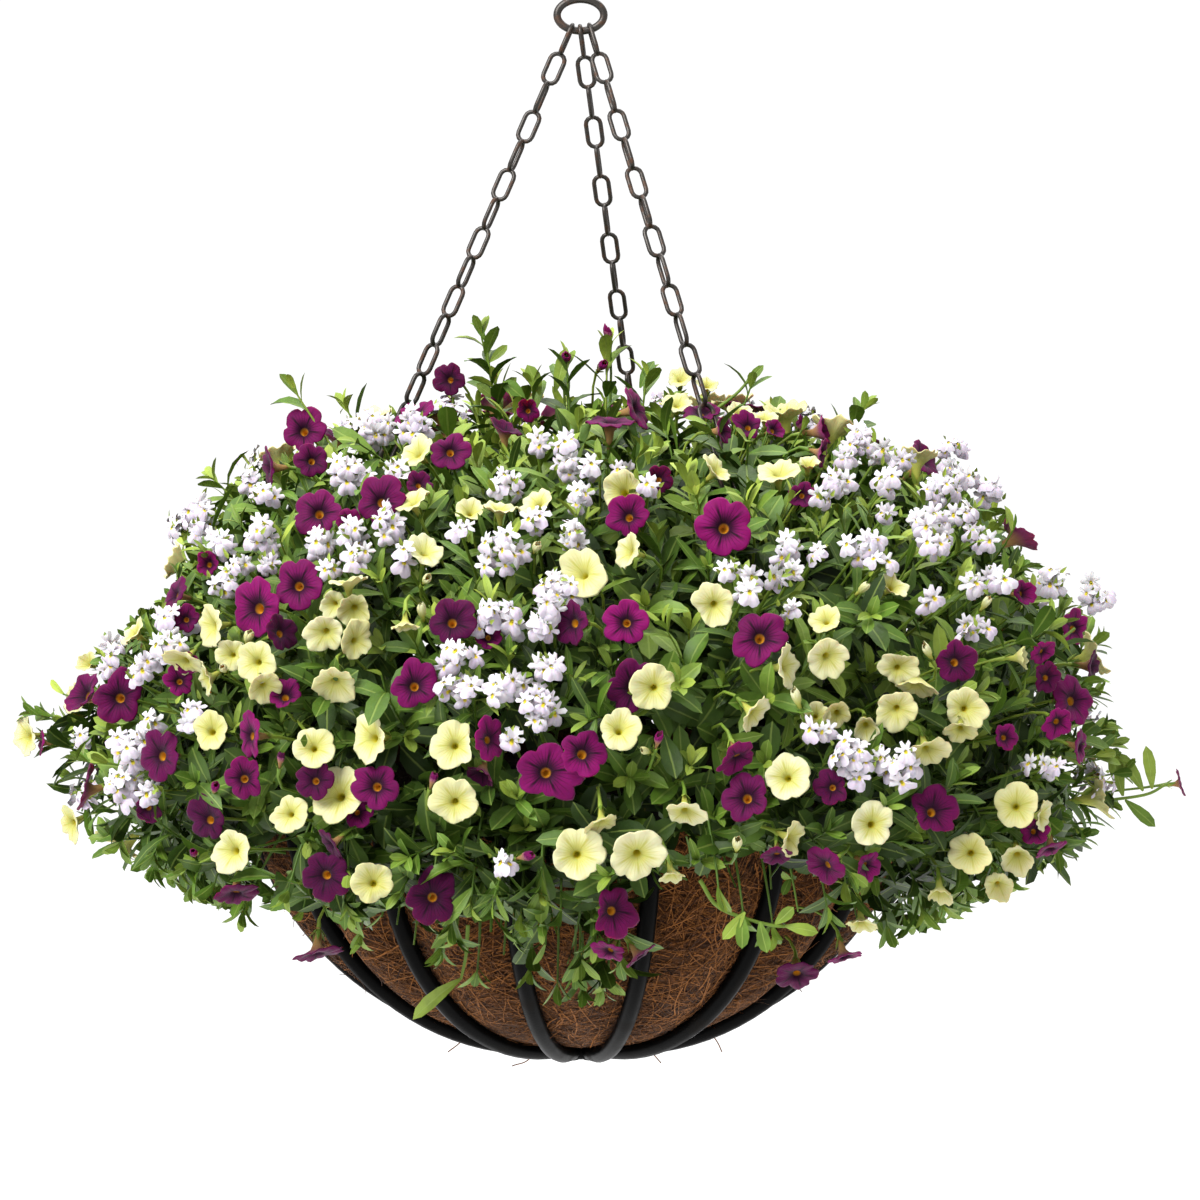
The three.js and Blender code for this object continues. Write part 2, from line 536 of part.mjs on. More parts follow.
/** Groups of neighbouring sprigs, one for each plant. */
function bunchesOf(sprigs, count) {
  const ways = sprigs.map((sprig) => sprig.seat.clone().sub(MOUND_CENTRE).normalize());
  let centres = [ways[0]];
  while (centres.length < count) {
    const gaps = ways.map((way) => Math.min(...centres.map((centre) => way.distanceTo(centre))));
    centres.push(ways[gaps.indexOf(Math.max(...gaps))]);
  }
  let members = [];
  for (let round = 0; round < 12; round += 1) {
    members = centres.map(() => []);
    ways.forEach((way, i) => {
      const gaps = centres.map((centre) => way.distanceTo(centre));
      members[gaps.indexOf(Math.min(...gaps))].push(i);
    });
    centres = members.map((list, k) => (list.length === 0 ? centres[k] : list
      .reduce((sum, i) => sum.add(ways[i]), vector(0, 0, 0)).normalize()));
  }
  return members.filter((list) => list.length > 0).map((list) => list.map((i) => sprigs[i]));
}

// ---- Blooms, florets and leaves -----------------------------------------------------------
/** Two directions that square up a third. */
function sideways(ahead) {
  const right = ahead.clone().cross(Math.abs(ahead.z) < 0.9 ? UP : vector(1, 0, 0)).normalize();
  return [right, right.clone().cross(ahead)];
}

/** A rim of lobes: each row of `lobe` is [share of the turn, reach, height before the seat]. */
function lobedRim(seat, face, count, firstTurn, lobe, stretch = 1) {
  const [right, up] = sideways(face);
  return Array.from({ length: count }, (_, i) => lobe.map(([share, reach, height]) => {
    const turn = 2 * Math.PI * ((i + share) / count + firstTurn);
    const point = along(along(seat, right, reach * Math.sin(turn)), up, reach * stretch * Math.cos(turn));
    return along(point, face, height);
  })).flat();
}

/** A bloom: five lobes round a sunk throat, and a tube that narrows behind. */
function bloomSolid(sprig, seat, way, extra) {
  const reach = sprig.radius + extra;
  const lobe = [[0, reach, -0.06 * reach], [0.5, 0.82 * reach, 0.04 * reach]];
  const rim = lobedRim(seat, sprig.face, 5, 0, lobe);
  const front = along(seat, sprig.face, extra - 0.16 * sprig.radius);
  const radii = way.map((_, i) => (i === 0 ? TUBE_RADIUS : STEM_RADIUS) + extra);
  return whorl(rim, front, sprig.face, way, radii);
}

/** A nemesia head: two-lipped florets fanned round the tip of its stem. */
function headSolid(sprig, seat, way, extra) {
  const reach = sprig.wide / 2 + extra;
  const lobe = [[0, 0.4 * reach, -4], [0.25, 0.95 * reach, 0], [0.5, 0.82 * reach, 1], [0.75, reach, 0]];
  const rim = lobedRim(seat, sprig.face, sprig.florets, sprig.turn, lobe, sprig.high / sprig.wide);
  const front = along(seat, sprig.face, extra - 2);
  return whorl(rim, front, sprig.face, way, way.map(() => STEM_RADIUS + extra));
}

/** A whorl of leaves round the tip of a shoot. */
function shootSolid(sprig, seat, way, extra) {
  const rise = sprig.lean * LEAF.length;
  const width = LEAF.share;
  const lobe = [
    [0, 1.4 + extra, -1], [0.5 - width, 0.5 * LEAF.length, 0.5 * rise],
    [0.5, LEAF.length + extra, rise], [0.5 + width, 0.5 * LEAF.length, 0.5 * rise],
  ];
  const root = along(seat, sprig.face, -LEAF.setback);
  const rim = lobedRim(root, sprig.face, sprig.leaves, sprig.turn, lobe);
  const front = along(root, sprig.face, LEAF.thickness + extra);
  return whorl(rim, front, sprig.face, way, way.map(() => STEM_RADIUS + extra));
}

const SOLIDS = { purple: bloomSolid, yellow: bloomSolid, nemesia: headSolid, leafy: shootSolid };

/** How far behind its seat the stem of a sprig starts. */
function stemSetback(sprig) {
  if (sprig.kind === "nemesia") return sprig.depth;
  if (sprig.kind === "leafy") return LEAF.setback;
  return TUBE_SHARE * sprig.radius;
}

// ---- Sprigs: every bloom, head and shoot with its seat ------------------------------------
/** The sprigs of a calibrachoa. */
function bloomSprigs(kind, plan, seed, taken) {
  const scale = EYE.length() / SHEET_UNIT;
  const sprigs = plan.map(([across, down, diameter, yaw, pitch]) => {
    const seat = seatOnMound(across, down);
    const radius = (diameter * seat.distanceTo(EYE)) / scale / 2;
    return { kind, seat, face: facing(yaw, pitch), radius: Math.max(radius, 6), sight: true };
  });
  const random = seededRandom(seed + 1);
  const extra = fillPlaces(FILL[kind], FILL_SPACING[kind], seed, [...taken, ...sprigs.map((s) => s.seat)]);
  return sprigs.concat(extra.map((seat) => {
    const sway = vector(random() - 0.5, random() - 0.5, random() - 0.3).multiplyScalar(FILL_SWAY);
    return { kind, seat, face: moundNormal(seat).add(sway).normalize(), radius: FILL_DIAMETER / 2 };
  }));
}

/** The sprigs of the nemesia. */
function headSprigs(seed, taken) {
  const random = seededRandom(seed + 1);
  const seats = NEMESIA_HEADS.map(([across, down, wide, high]) => [seatOnMound(across, down), wide, high]);
  const front = seats.map(([seat, wide, high]) => ({
    seat, wide: wide * SHEET_UNIT, high: high * SHEET_UNIT, face: facing(0, 10),
  }));
  const places = fillPlaces(FILL.nemesia, FILL_SPACING.nemesia, seed, [...taken, ...front.map((s) => s.seat)]);
  const back = places.map((seat) => ({ seat, wide: FILL_HEAD, high: FILL_HEAD, face: moundNormal(seat) }));
  const kept = { kind: "nemesia", depth: HEAD_DEPTH, florets: 3 };
  return [...front, ...back].map((sprig) => ({ ...sprig, ...kept, turn: random() }));
}

/** The leafy shoots. */
function shootSprigs(seed, taken) {
  const random = seededRandom(seed + 1);
  const front = OUTER_SHOOTS.map(([across, down]) => {
    const tip = seatOnMound(across, down);
    const face = tip.clone().sub(MOUND_CENTRE).normalize().add(vector(0, 0, 0.25)).normalize();
    return { seat: along(tip, face, -0.4 * LEAF.length), face, leaves: 3, lean: 1.1 };
  });
  const places = fillPlaces(FILL.leafy, FILL_SPACING.leafy, seed, [...taken, ...front.map((s) => s.seat)]);
  const back = places.map((seat) => ({ seat, face: moundNormal(seat), leaves: 3, lean: 0.35 }));
  return [...front, ...back].map((sprig) => ({ ...sprig, kind: "leafy", turn: random() }));
}

// ---- Routing: each plant's stalk, fork and stems, kept clear of every other node ----------
const placed = []; // { node, solid, box }

/** Whether a solid is clear of those placed pieces for which `counts` holds. */
function isClear(solid, counts) {
  const box = solid.boundingBox();
  return placed.every((other) => {
    if (!counts(other)) return true;
    const apart = [0, 1, 2].some((k) => box.min[k] > other.box.max[k] || box.max[k] < other.box.min[k]);
    return apart || solid.intersect(other.solid).isEmpty();
  });
}

/** Adds a solid to what the later pieces keep clear of. */
function place(node, solid, stalk = false) {
  placed.push({ node, solid, stalk, box: solid.boundingBox() });
  return solid;
}

/** The stalk of a plant, from its hole in the soil to its fork, which it shifts to find room. */
function growStalk(node, fork) {
  const random = seededRandom(node.length * 31 + Math.round(Math.abs(fork.x * 3 + fork.z)));
  const first = fork.clone();
  for (let tries = 0; tries < MOST_TRIES; tries += 1) {
    const slack = Math.min(tries, 50);
    fork.copy(first).add(vector(random() - 0.5, random() - 0.5, random() * 0.5).multiplyScalar(slack));
    const reach = Math.min(Math.hypot(fork.x, fork.y) * STALK_SPREAD, STALK_REACH);
    const foot = polar(reach, Math.atan2(fork.y, fork.x) + (random() - 0.5) * slack * AZIMUTH_SWAY, SOIL_LEVEL);
    const line = [along(foot, UP, -STALK_DEPTH), along(foot, UP, 8), along(fork, UP, 1.5)];
    if (isClear(wire(line.slice(0, 2), STALK_RADIUS + HOLE_GAP + 0.8, STALK_SIDES), () => true)
      && isClear(wire(line.slice(1), STALK_RADIUS + 2 * TEST_GAP, STALK_SIDES), () => true)) {
      return { line, solid: place(node, wire(line, STALK_RADIUS, STALK_SIDES), true) };
    }
  }
  throw new Error(`${node} finds no room for its stalk at ${fork.toArray().map(Math.round)}`);
}

/** The way of a stem from its sprig's back to its joint, over the rim where it has to. */
function stemWay(start, joint, detour) {
  const azimuth = Math.atan2(start.y, start.x) + detour.x * AZIMUTH_SWAY;
  const way = [start];
  if (start.z < 22 && Math.hypot(start.x, start.y) > 150) {
    way.push(polar(RIM_OUTER_RADIUS + 26 + 1.5 * Math.abs(detour.y), azimuth, 14 + 1.6 * Math.abs(detour.z)));
  } else if (detour.lengthSq() > 0) {
    way.push(start.clone().lerp(joint, 0.45).add(detour));
  }
  way.push(joint);
  return way;
}

/** Sets a sprig on its plant, at a joint on the stalk, where it clears the other nodes. */
function growSprig(node, sprig, joint) {
  const random = seededRandom(Math.round(Math.abs(sprig.seat.x * 7 + sprig.seat.z * 13)) + 5);
  const inward = sprig.sight ? sprig.seat.clone().sub(EYE).normalize() : moundNormal(sprig.seat).negate();
  const build = SOLIDS[sprig.kind];
  for (let tries = 0; tries < MOST_TRIES; tries += 1) {
    const push = (random() - 0.35) * Math.min(tries / 3, 30);
    const slack = tries < STRAIGHT_TRIES ? 0 : Math.min(4 + tries / 3, 60);
    const detour = vector(random() - 0.5, random() - 0.5, random() - 0.5).multiplyScalar(slack);
    const seat = along(sprig.seat, inward, push);
    const way = stemWay(along(seat, sprig.face, -stemSetback(sprig)), joint, detour);
    const turned = way[1].clone().sub(way[0]).normalize().dot(sprig.face);
    if (turned > MOST_TURN) continue;
    if (!isClear(build(sprig, seat, way, TEST_GAP), (other) => other.node !== node)) continue;
    const solid = build(sprig, seat, way, 0);
    const crowded = !isClear(solid, (other) => other.node === node && !other.stalk);
    if (crowded && tries < MOST_TRIES / 2) continue;
    return [place(node, solid)];
  }
  console.warn(`${node} leaves out a sprig at ${sprig.seat.toArray().map(Math.round)}`);
  return [];
}

/** Where the stems of a bunch part from its stalk. */
function forkOf(bunch, kind) {
  const middle = bunch.reduce((sum, sprig) => sum.add(sprig.seat), vector(0, 0, 0)).divideScalar(bunch.length);
  const way = middle.clone().sub(MOUND_CENTRE).normalize();
  const scale = moundField(along(MOUND_CENTRE, way, 1)) ** (-1 / MOUND.power);
  const fork = along(MOUND_CENTRE, way, scale * SHELL_SHARE[kind]);
  const reach = Math.hypot(fork.x, fork.y);
  if (fork.z > FORK_FREE) return fork;
  return polar(Math.min(reach, FORK_REACH), Math.atan2(fork.y, fork.x), Math.max(fork.z, FORK_LOWEST));
}

// ---- The assembly -------------------------------------------------------------------------
const basket = new THREE.Group();
basket.name = "mixed_flower_hanging_basket";

const ribs = Array.from({ length: RIB_COUNT }, (_, i) => place("basket_frame", ribSolid(i)));
const frame = joined([place("basket_frame", rimSolid()), bottomRingSolid(), ...ribs]);
const liner = place("coir_liner", linerSolid());
basket.add(meshOf("basket_frame", frame, FINISH.frame));
basket.add(meshOf("coir_liner", liner, FINISH.coir));
basket.add(meshOf("hanging_hook", place("hanging_hook", hookSolid()), FINISH.steel));
for (const side of Object.keys(CHAIN_AZIMUTHS)) {
  const links = chainLinks(side).map((link) => place(`chain_${side}`, link));
  basket.add(meshOf(`chain_${side}`, joined(links), FINISH.steel));
  basket.add(meshOf(`rim_clip_${side}`, place(`rim_clip_${side}`, clipSolid(side)), FINISH.steel));
}

const purple = bloomSprigs("purple", PURPLE_BLOOMS, 11, []);
const yellow = bloomSprigs("yellow", YELLOW_BLOOMS, 23, purple.map((s) => s.seat));
const blooms = [...purple, ...yellow].map((s) => s.seat);
const nemesia = headSprigs(37, blooms);
const leafy = shootSprigs(54, [...blooms, ...nemesia.map((s) => s.seat)]);

const NODE_NAMES = { purple: "purple_bunch", yellow: "yellow_bunch", nemesia: "nemesia_spray", leafy: "leafy_stem" };
const plants = Object.entries({ purple, yellow, nemesia, leafy }).flatMap(([kind, sprigs]) => (
  bunchesOf(sprigs, BUNCHES[kind]).map((bunch, i) => ({
    kind, bunch, node: `${NODE_NAMES[kind]}_${String(i + 1).padStart(2, "0")}`, fork: forkOf(bunch, kind),
  }))));
for (const plant of plants) plant.stalk = growStalk(plant.node, plant.fork);

let soil = soilSolid();
for (const { stalk } of plants) {
  const hole = [along(stalk.line[0], UP, -1), along(stalk.line[1], UP, -2)];
  soil = soil.subtract(wire(hole, STALK_RADIUS + HOLE_GAP, STALK_SIDES));
}
basket.add(meshOf("potting_soil", place("potting_soil", soil), FINISH.soil));

for (const { kind, node, bunch, stalk } of plants) {
  const [, low, top] = stalk.line;
  const step = Math.min(BRANCH_STEP, (BRANCHED_SHARE * low.distanceTo(top)) / bunch.length);
  const downwards = low.clone().sub(top).normalize();
  const ordered = [...bunch].sort((a, b) => b.seat.z - a.seat.z);
  const pieces = ordered.flatMap((sprig, i) => growSprig(node, sprig, along(top, downwards, 2 + i * step)));
  basket.add(meshOf(node, joined([stalk.solid, ...pieces]), FINISH[kind]));
}

for (const mesh of basket.children) mesh.geometry.translate(0, 0, -RIM_DROP);

export default basket;
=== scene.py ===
"""Dresses a mixed flower hanging basket: wire bowl, coir, chains, flowers and foliage.

Everything is laid out in millimetres about the middle of the basket's rim, with +Z up and -Y to
the front. Each mesh is turned into metres below the hook's bearing point as it is made.
"""

import logging
import math
from dataclasses import dataclass, field
from enum import Enum

import bpy
import numpy as np
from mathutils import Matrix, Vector


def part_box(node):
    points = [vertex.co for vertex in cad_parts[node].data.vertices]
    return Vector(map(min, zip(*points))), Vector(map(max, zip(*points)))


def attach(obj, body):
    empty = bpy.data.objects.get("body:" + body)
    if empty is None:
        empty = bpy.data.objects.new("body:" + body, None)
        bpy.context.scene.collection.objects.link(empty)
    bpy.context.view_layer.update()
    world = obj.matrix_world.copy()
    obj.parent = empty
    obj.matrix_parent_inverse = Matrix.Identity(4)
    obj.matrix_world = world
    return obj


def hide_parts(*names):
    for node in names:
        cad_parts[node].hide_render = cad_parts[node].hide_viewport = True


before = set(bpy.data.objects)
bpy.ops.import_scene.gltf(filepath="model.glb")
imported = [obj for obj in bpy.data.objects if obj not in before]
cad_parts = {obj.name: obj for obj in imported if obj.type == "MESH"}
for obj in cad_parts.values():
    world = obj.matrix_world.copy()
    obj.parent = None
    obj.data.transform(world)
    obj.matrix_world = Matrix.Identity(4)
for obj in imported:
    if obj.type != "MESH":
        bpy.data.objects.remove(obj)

Array = np.ndarray
Random = np.random.Generator
Material = bpy.types.Material
Socket = bpy.types.NodeSocket
Pair = tuple[float, float]
Triple = tuple[float, float, float]
Colour = tuple[float, float, float, float]
# The foot, direction, face, length, width, arch, fold and tone of each leaf.
Leaves = tuple[Array, ...]

METRE = 0.001
UP = np.array([0.0, 0.0, 1.0])
ACROSS = np.array([1.0, 0.0, 0.0])
BACK = np.array([0.0, 1.0, 0.0])
BODY = "root"
LOG = logging.getLogger("hanging_basket")

# The angle from one leaf or floret to the next, and the reach of a drawn phase, in radians.
GOLDEN_ANGLE = 2.399963
ANY_PHASE = 6.3
# How much brighter than its own colour the studio's light makes a surface.
STUDIO_GAIN = 1.85

# ---- The basket's sizes, in millimetres ----
RIM_OUTER_RADIUS = 177.0
RIM_WIRE = 9.4
RIB_WIRE = 8.8
RIM_RADIUS = RIM_OUTER_RADIUS - RIM_WIRE / 2
BOWL_DEPTH = 160.0
RIB_DEPTH = BOWL_DEPTH - RIB_WIRE / 2
RIB_COUNT = 16
RIM_DROP = RIM_WIRE / 2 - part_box("basket_frame")[1][2] / METRE

# ---- The planting plan ----
# A front elevation on a sheet of 1200 x 1200 units. A bloom is (across, down, diameter, yaw,
# pitch): yaw turns its face to the right and pitch turns it up, in degrees.
PURPLE_BLOOMS = (
    (303, 430, 46, -12, 8), (312, 460, 37, 12, 8), (268, 467, 42, -75, -5), (319, 512, 49, 0, 15),
    (380, 501, 48, -15, 5), (450, 451, 42, 0, 12), (449, 379, 35, -25, 0), (298, 585, 51, -8, 0),
    (256, 607, 60, -30, 0), (282, 632, 42, 45, 10), (452, 621, 52, 0, 12), (414, 685, 50, 0, 8),
    (119, 697, 52, -5, 0), (159, 755, 52, -35, 0), (41, 742, 26, -80, 0), (85, 790, 44, -75, -15),
    (249, 735, 46, -50, 0), (244, 778, 44, 0, 0), (208, 819, 46, -25, 0), (236, 895, 44, 0, -65),
    (315, 780, 40, -8, 5), (376, 786, 50, -10, 0), (490, 739, 42, 45, 0), (330, 845, 34, -60, -40),
    (325, 875, 50, -15, -10), (432, 897, 54, 0, -5), (318, 955, 48, 0, -75), (572, 622, 48, -40, 0),
    (626, 622, 46, -10, 0), (628, 516, 44, -18, 8), (724, 527, 59, 0, 0), (760, 637, 57, 0, 5),
    (583, 752, 54, 15, 15), (546, 772, 59, 3, -4), (747, 797, 52, -8, 10), (738, 758, 40, 30, -60),
    (777, 856, 32, 0, -60), (613, 910, 50, 20, 0), (609, 952, 34, -30, -45), (640, 957, 36, 50, -50),
    (797, 976, 44, 0, -45), (845, 958, 40, 20, -60), (825, 866, 42, -50, -30), (833, 787, 36, 0, 0),
    (933, 811, 48, 15, 8), (956, 661, 45, 15, 5), (637, 408, 46, 70, 10), (611, 421, 50, 20, 70),
    (1043, 652, 26, 40, -30), (1074, 700, 50, 35, 0), (1058, 722, 34, 20, -20), (1081, 747, 34, 60, -20),
    (1181, 783, 26, 80, 0), (1051, 850, 34, 0, -70), (175, 594, 36, -60, 10),
)
PURPLE_SMALL = (
    (505, 430, 30, 0, 75), (285, 695, 30, 0, 30), (481, 774, 30, -20, -60), (701, 412, 26, 0, 50),
    (723, 430, 26, 60, 0), (822, 431, 30, 70, 0), (1075, 628, 28, 30, 0), (633, 688, 50, 0, 0),
    (867, 866, 26, 40, -30), (748, 426, 24, 0, 20), (774, 430, 20, 40, 10), (822, 453, 22, 60, -20),
    (1023, 593, 22, 50, 0), (1047, 677, 24, 20, 0), (1093, 666, 28, 70, -10), (1035, 831, 22, 20, 0),
    (1005, 737, 22, 20, 0), (208, 564, 22, -20, 0), (148, 809, 24, 0, -30), (419, 484, 22, 20, 20),
    (188, 663, 20, 0, 0), (179, 681, 24, 0, 0), (357, 812, 20, 0, 0), (528, 410, 14, 0, 0),
    (350, 522, 16, 0, 0), (659, 479, 18, 0, 0), (186, 619, 14, 0, 0), (802, 495, 16, 0, 0),
    (488, 637, 16, 0, 0),
)
YELLOW_BLOOMS = (
    (134, 632, 34, -50, 30), (212, 626, 42, -55, -10), (257, 661, 42, -12, 0), (264, 686, 38, 20, -35),
    (184, 662, 40, -30, -40), (77, 699, 34, -50, 0), (27, 736, 38, -42, -5), (71, 823, 38, -35, -20),
    (211, 730, 44, -10, 10), (233, 850, 47, -30, 0), (290, 813, 37, -15, 10), (314, 747, 42, 0, 10),
    (371, 737, 53, -35, 0), (455, 745, 46, 0, 0), (455, 802, 48, 0, -15), (373, 882, 47, 0, 5),
    (335, 683, 46, 0, -50), (326, 632, 41, 0, -25), (405, 626, 32, 0, -70), (349, 582, 38, 0, 70),
    (425, 552, 38, 20, 50), (413, 502, 36, -40, 50), (417, 453, 38, -40, 30), (500, 509, 38, 0, 65),
    (538, 503, 36, -30, 30), (583, 573, 46, -30, 20), (629, 551, 38, -60, 10), (717, 470, 38, 45, 30),
    (714, 605, 44, 0, -25), (654, 687, 46, 0, -8), (619, 729, 44, 0, 20), (786, 666, 42, 60, 0),
    (754, 714, 40, 45, -40), (685, 813, 42, 0, -50), (602, 823, 34, 10, -65), (577, 854, 54, 0, -5),
    (637, 855, 52, 0, -25), (787, 777, 45, -15, 5), (792, 838, 40, 50, -20), (826, 620, 34, -20, 30),
    (828, 657, 44, 20, -30), (896, 709, 42, -10, -25), (965, 708, 42, 0, -5), (960, 730, 36, -10, -40),
    (927, 751, 44, 10, -45), (873, 824, 48, 10, -5), (1016, 806, 46, -10, 0), (1042, 816, 32, 60, -10),
    (971, 852, 44, -8, 0), (765, 418, 26, 0, 60),
)
YELLOW_SMALL = (
    (355, 609, 30, 10, -30), (898, 668, 28, 0, -20), (1018, 857, 30, 0, -40), (940, 893, 26, 0, -60),
    (779, 473, 30, 0, 60), (866, 726, 26, 0, -30), (861, 924, 26, 0, -60), (207, 679, 26, -50, -30),
    (339, 795, 41, -12, 5), (356, 641, 27, 30, -20), (624, 491, 37, -10, 5), (916, 685, 34, 10, -55),
    (1020, 657, 20, 75, 0), (998, 885, 22, 0, -40), (672, 875, 20, 30, -70), (677, 404, 22, 0, 40),
    (680, 379, 15, 0, 40), (707, 385, 15, 0, 40), (739, 412, 18, 0, 40), (808, 465, 18, 0, 40),
    (892, 586, 26, 20, 20), (837, 713, 26, 0, -20), (816, 716, 20, 0, 0), (232, 654, 24, -10, 0),
    (88, 663, 16, -40, 20), (334, 604, 20, -20, -20), (470, 512, 16, 0, 30),
)
# A nemesia head is (across, down, width, height).
NEMESIA_HEADS = (
    (198, 515, 40, 56), (222, 542, 32, 30), (262, 535, 40, 40), (222, 580, 34, 36), (265, 490, 34, 30),
    (170, 618, 40, 30), (172, 645, 44, 34), (115, 648, 30, 36), (130, 745, 44, 44), (122, 785, 44, 44),
    (375, 428, 46, 44), (350, 470, 46, 40), (388, 523, 34, 44), (318, 543, 36, 34), (507, 482, 44, 34),
    (567, 455, 32, 56), (571, 533, 32, 38), (500, 550, 56, 50), (555, 588, 46, 36), (487, 614, 34, 36),
    (458, 655, 44, 36), (505, 686, 50, 32), (542, 700, 44, 40), (787, 550, 32, 30), (746, 592, 24, 28),
    (858, 441, 34, 46), (900, 460, 36, 30), (838, 480, 36, 36), (887, 511, 22, 18), (950, 446, 44, 30),
    (940, 490, 50, 34), (992, 490, 34, 36), (930, 525, 50, 44), (862, 545, 50, 34), (1050, 580, 34, 44),
    (1095, 596, 44, 40), (974, 626, 46, 26), (850, 755, 50, 44), (897, 767, 46, 44), (192, 712, 24, 40),
    (152, 720, 26, 22), (997, 577, 30, 30), (621, 469, 30, 20), (1040, 762, 30, 20),
)
NEMESIA_SMALL = (
    (240, 562, 26, 26), (268, 563, 26, 20), (252, 478, 20, 30), (147, 662, 32, 24), (141, 673, 26, 22),
    (108, 666, 24, 20), (150, 790, 20, 20), (80, 738, 14, 24), (414, 424, 34, 44), (398, 470, 26, 32),
    (350, 530, 36, 30), (358, 553, 34, 28), (330, 567, 24, 24), (403, 555, 14, 26), (537, 442, 24, 26),
    (592, 468, 26, 26), (580, 495, 34, 30), (535, 520, 28, 30), (461, 531, 22, 26), (512, 618, 28, 34),
    (540, 624, 40, 26), (550, 608, 30, 26), (458, 688, 44, 36), (538, 722, 30, 12), (513, 740, 20, 26),
    (548, 665, 36, 26), (649, 487, 18, 14), (727, 569, 14, 14), (752, 577, 22, 22), (777, 577, 20, 20),
    (794, 572, 20, 20), (790, 608, 20, 16), (845, 455, 20, 24), (880, 452, 24, 24), (822, 500, 30, 20),
    (888, 480, 26, 30), (948, 467, 24, 20), (970, 476, 20, 24), (965, 515, 36, 30), (976, 530, 24, 24),
    (935, 545, 44, 24), (987, 542, 18, 16), (880, 560, 30, 20), (817, 554, 18, 14), (930, 600, 24, 20),
    (974, 583, 16, 14), (855, 778, 22, 20), (820, 730, 40, 16), (1054, 765, 16, 20), (503, 864, 26, 12),
)
YELLOW_BUDS = ((422, 612), (426, 580), (536, 548), (797, 699), (737, 845), (985, 604), (928, 652),
               (646, 751), (862, 589), (248, 638), (224, 669))
PURPLE_BUDS = ((496, 399), (608, 335), (566, 358), (602, 366), (215, 788), (281, 759), (526, 856),
               (194, 853), (801, 425), (433, 780), (658, 740))
# A shoot that stands out of the mound is (across, down) of its tip.
OUTER_SHOOTS = (
    (478, 320), (493, 372), (566, 350), (608, 334), (648, 364), (530, 372), (755, 374), (785, 398),
    (808, 405), (288, 380), (340, 397), (1030, 563), (1105, 640), (1115, 730), (1118, 755), (22, 710),
    (60, 700), (100, 650), (150, 868), (285, 908), (350, 925), (450, 940), (540, 905), (580, 975),
    (609, 993), (690, 880), (745, 930), (775, 942), (800, 925), (925, 925), (1010, 895), (1090, 835),
    (205, 470), (870, 400), (560, 940), (595, 955), (500, 940), (300, 925), (720, 905), (860, 935),
    (890, 940), (400, 915), (330, 930), (970, 905), (1060, 860), (178, 880), (455, 950), (520, 935),
    (545, 958), (575, 985), (600, 1000), (430, 905), (470, 915), (340, 935), (490, 945), (620, 975),
    (380, 930), (240, 925), (665, 890), (830, 925), (945, 915), (395, 938), (412, 958), (440, 965),
    (476, 985), (503, 968), (530, 985), (557, 1000), (582, 1004), (358, 950), (425, 930), (512, 950),
    (540, 935), (150, 880), (190, 900), (38, 712), (52, 690), (46, 742), (75, 702), (72, 745), (88, 668),
    (62, 775), (88, 792), (78, 822), (100, 838), (115, 858), (95, 760), (25, 735), (58, 722), (1105, 690),
    (1122, 742), (1100, 782), (1118, 802), (1095, 822), (1088, 690), (1070, 850), (1132, 770),
)
# A single leaf that stands clear is (across, down) of its foot, then of its tip, and its width.
CLEAR_LEAVES = (
    (1123, 796, 1111, 752, 15), (1143, 791, 1121, 754, 14), (1152, 789, 1147, 748, 13),
    (1125, 800, 1154, 825, 13), (1170, 785, 1181, 802, 8), (1092, 802, 1102, 826, 8),
    (461, 979, 418, 1010, 15), (742, 915, 742, 942, 12), (745, 912, 727, 934, 11), (760, 922, 765, 947, 12),
    (775, 924, 790, 910, 11), (785, 926, 812, 930, 11), (497, 400, 478, 384, 10), (498, 395, 515, 378, 10),
    (492, 368, 470, 356, 9), (490, 362, 506, 346, 9), (486, 342, 474, 318, 8), (735, 395, 720, 378, 9),
    (745, 385, 762, 366, 9), (540, 395, 530, 366, 16), (525, 400, 505, 382, 15), (555, 392, 566, 350, 14),
    (600, 372, 608, 334, 12), (640, 388, 652, 362, 12),
)
# A stem that stands clear is a run of (across, down).
CLEAR_STEMS = (
    ((1030, 800), (1062, 806), (1092, 802), (1144, 795), (1165, 785), (1176, 783)),
    ((500, 470), (497, 440), (500, 400), (490, 370), (486, 342)),
    ((700, 880), (720, 908), (770, 925), (800, 925)),
    ((1010, 700), (1050, 650), (1075, 628)),
    ((700, 420), (735, 395), (755, 372)),
    ((468, 925), (466, 955), (461, 979)),
)
# A loose coir fibre that hangs under the bowl is a run of (across, down).
LOOSE_FIBRES = (
    ((622, 985), (627, 1011), (638, 1035), (650, 1050), (661, 1063)),
    ((470, 1020), (462, 1040), (448, 1052)),
    ((540, 1030), (530, 1058), (512, 1066)),
    ((700, 1020), (716, 1040), (722, 1052)),
)
# A gap through which the coir shows is (across, down, half width, half height).
COIR_GAPS = (
    (276, 856, 24, 20), (318, 932, 26, 20), (397, 942, 26, 28), (488, 945, 22, 20), (682, 850, 9, 24),
    (681, 908, 33, 36), (752, 878, 29, 32), (562, 945, 16, 26), (800, 898, 16, 20),
)
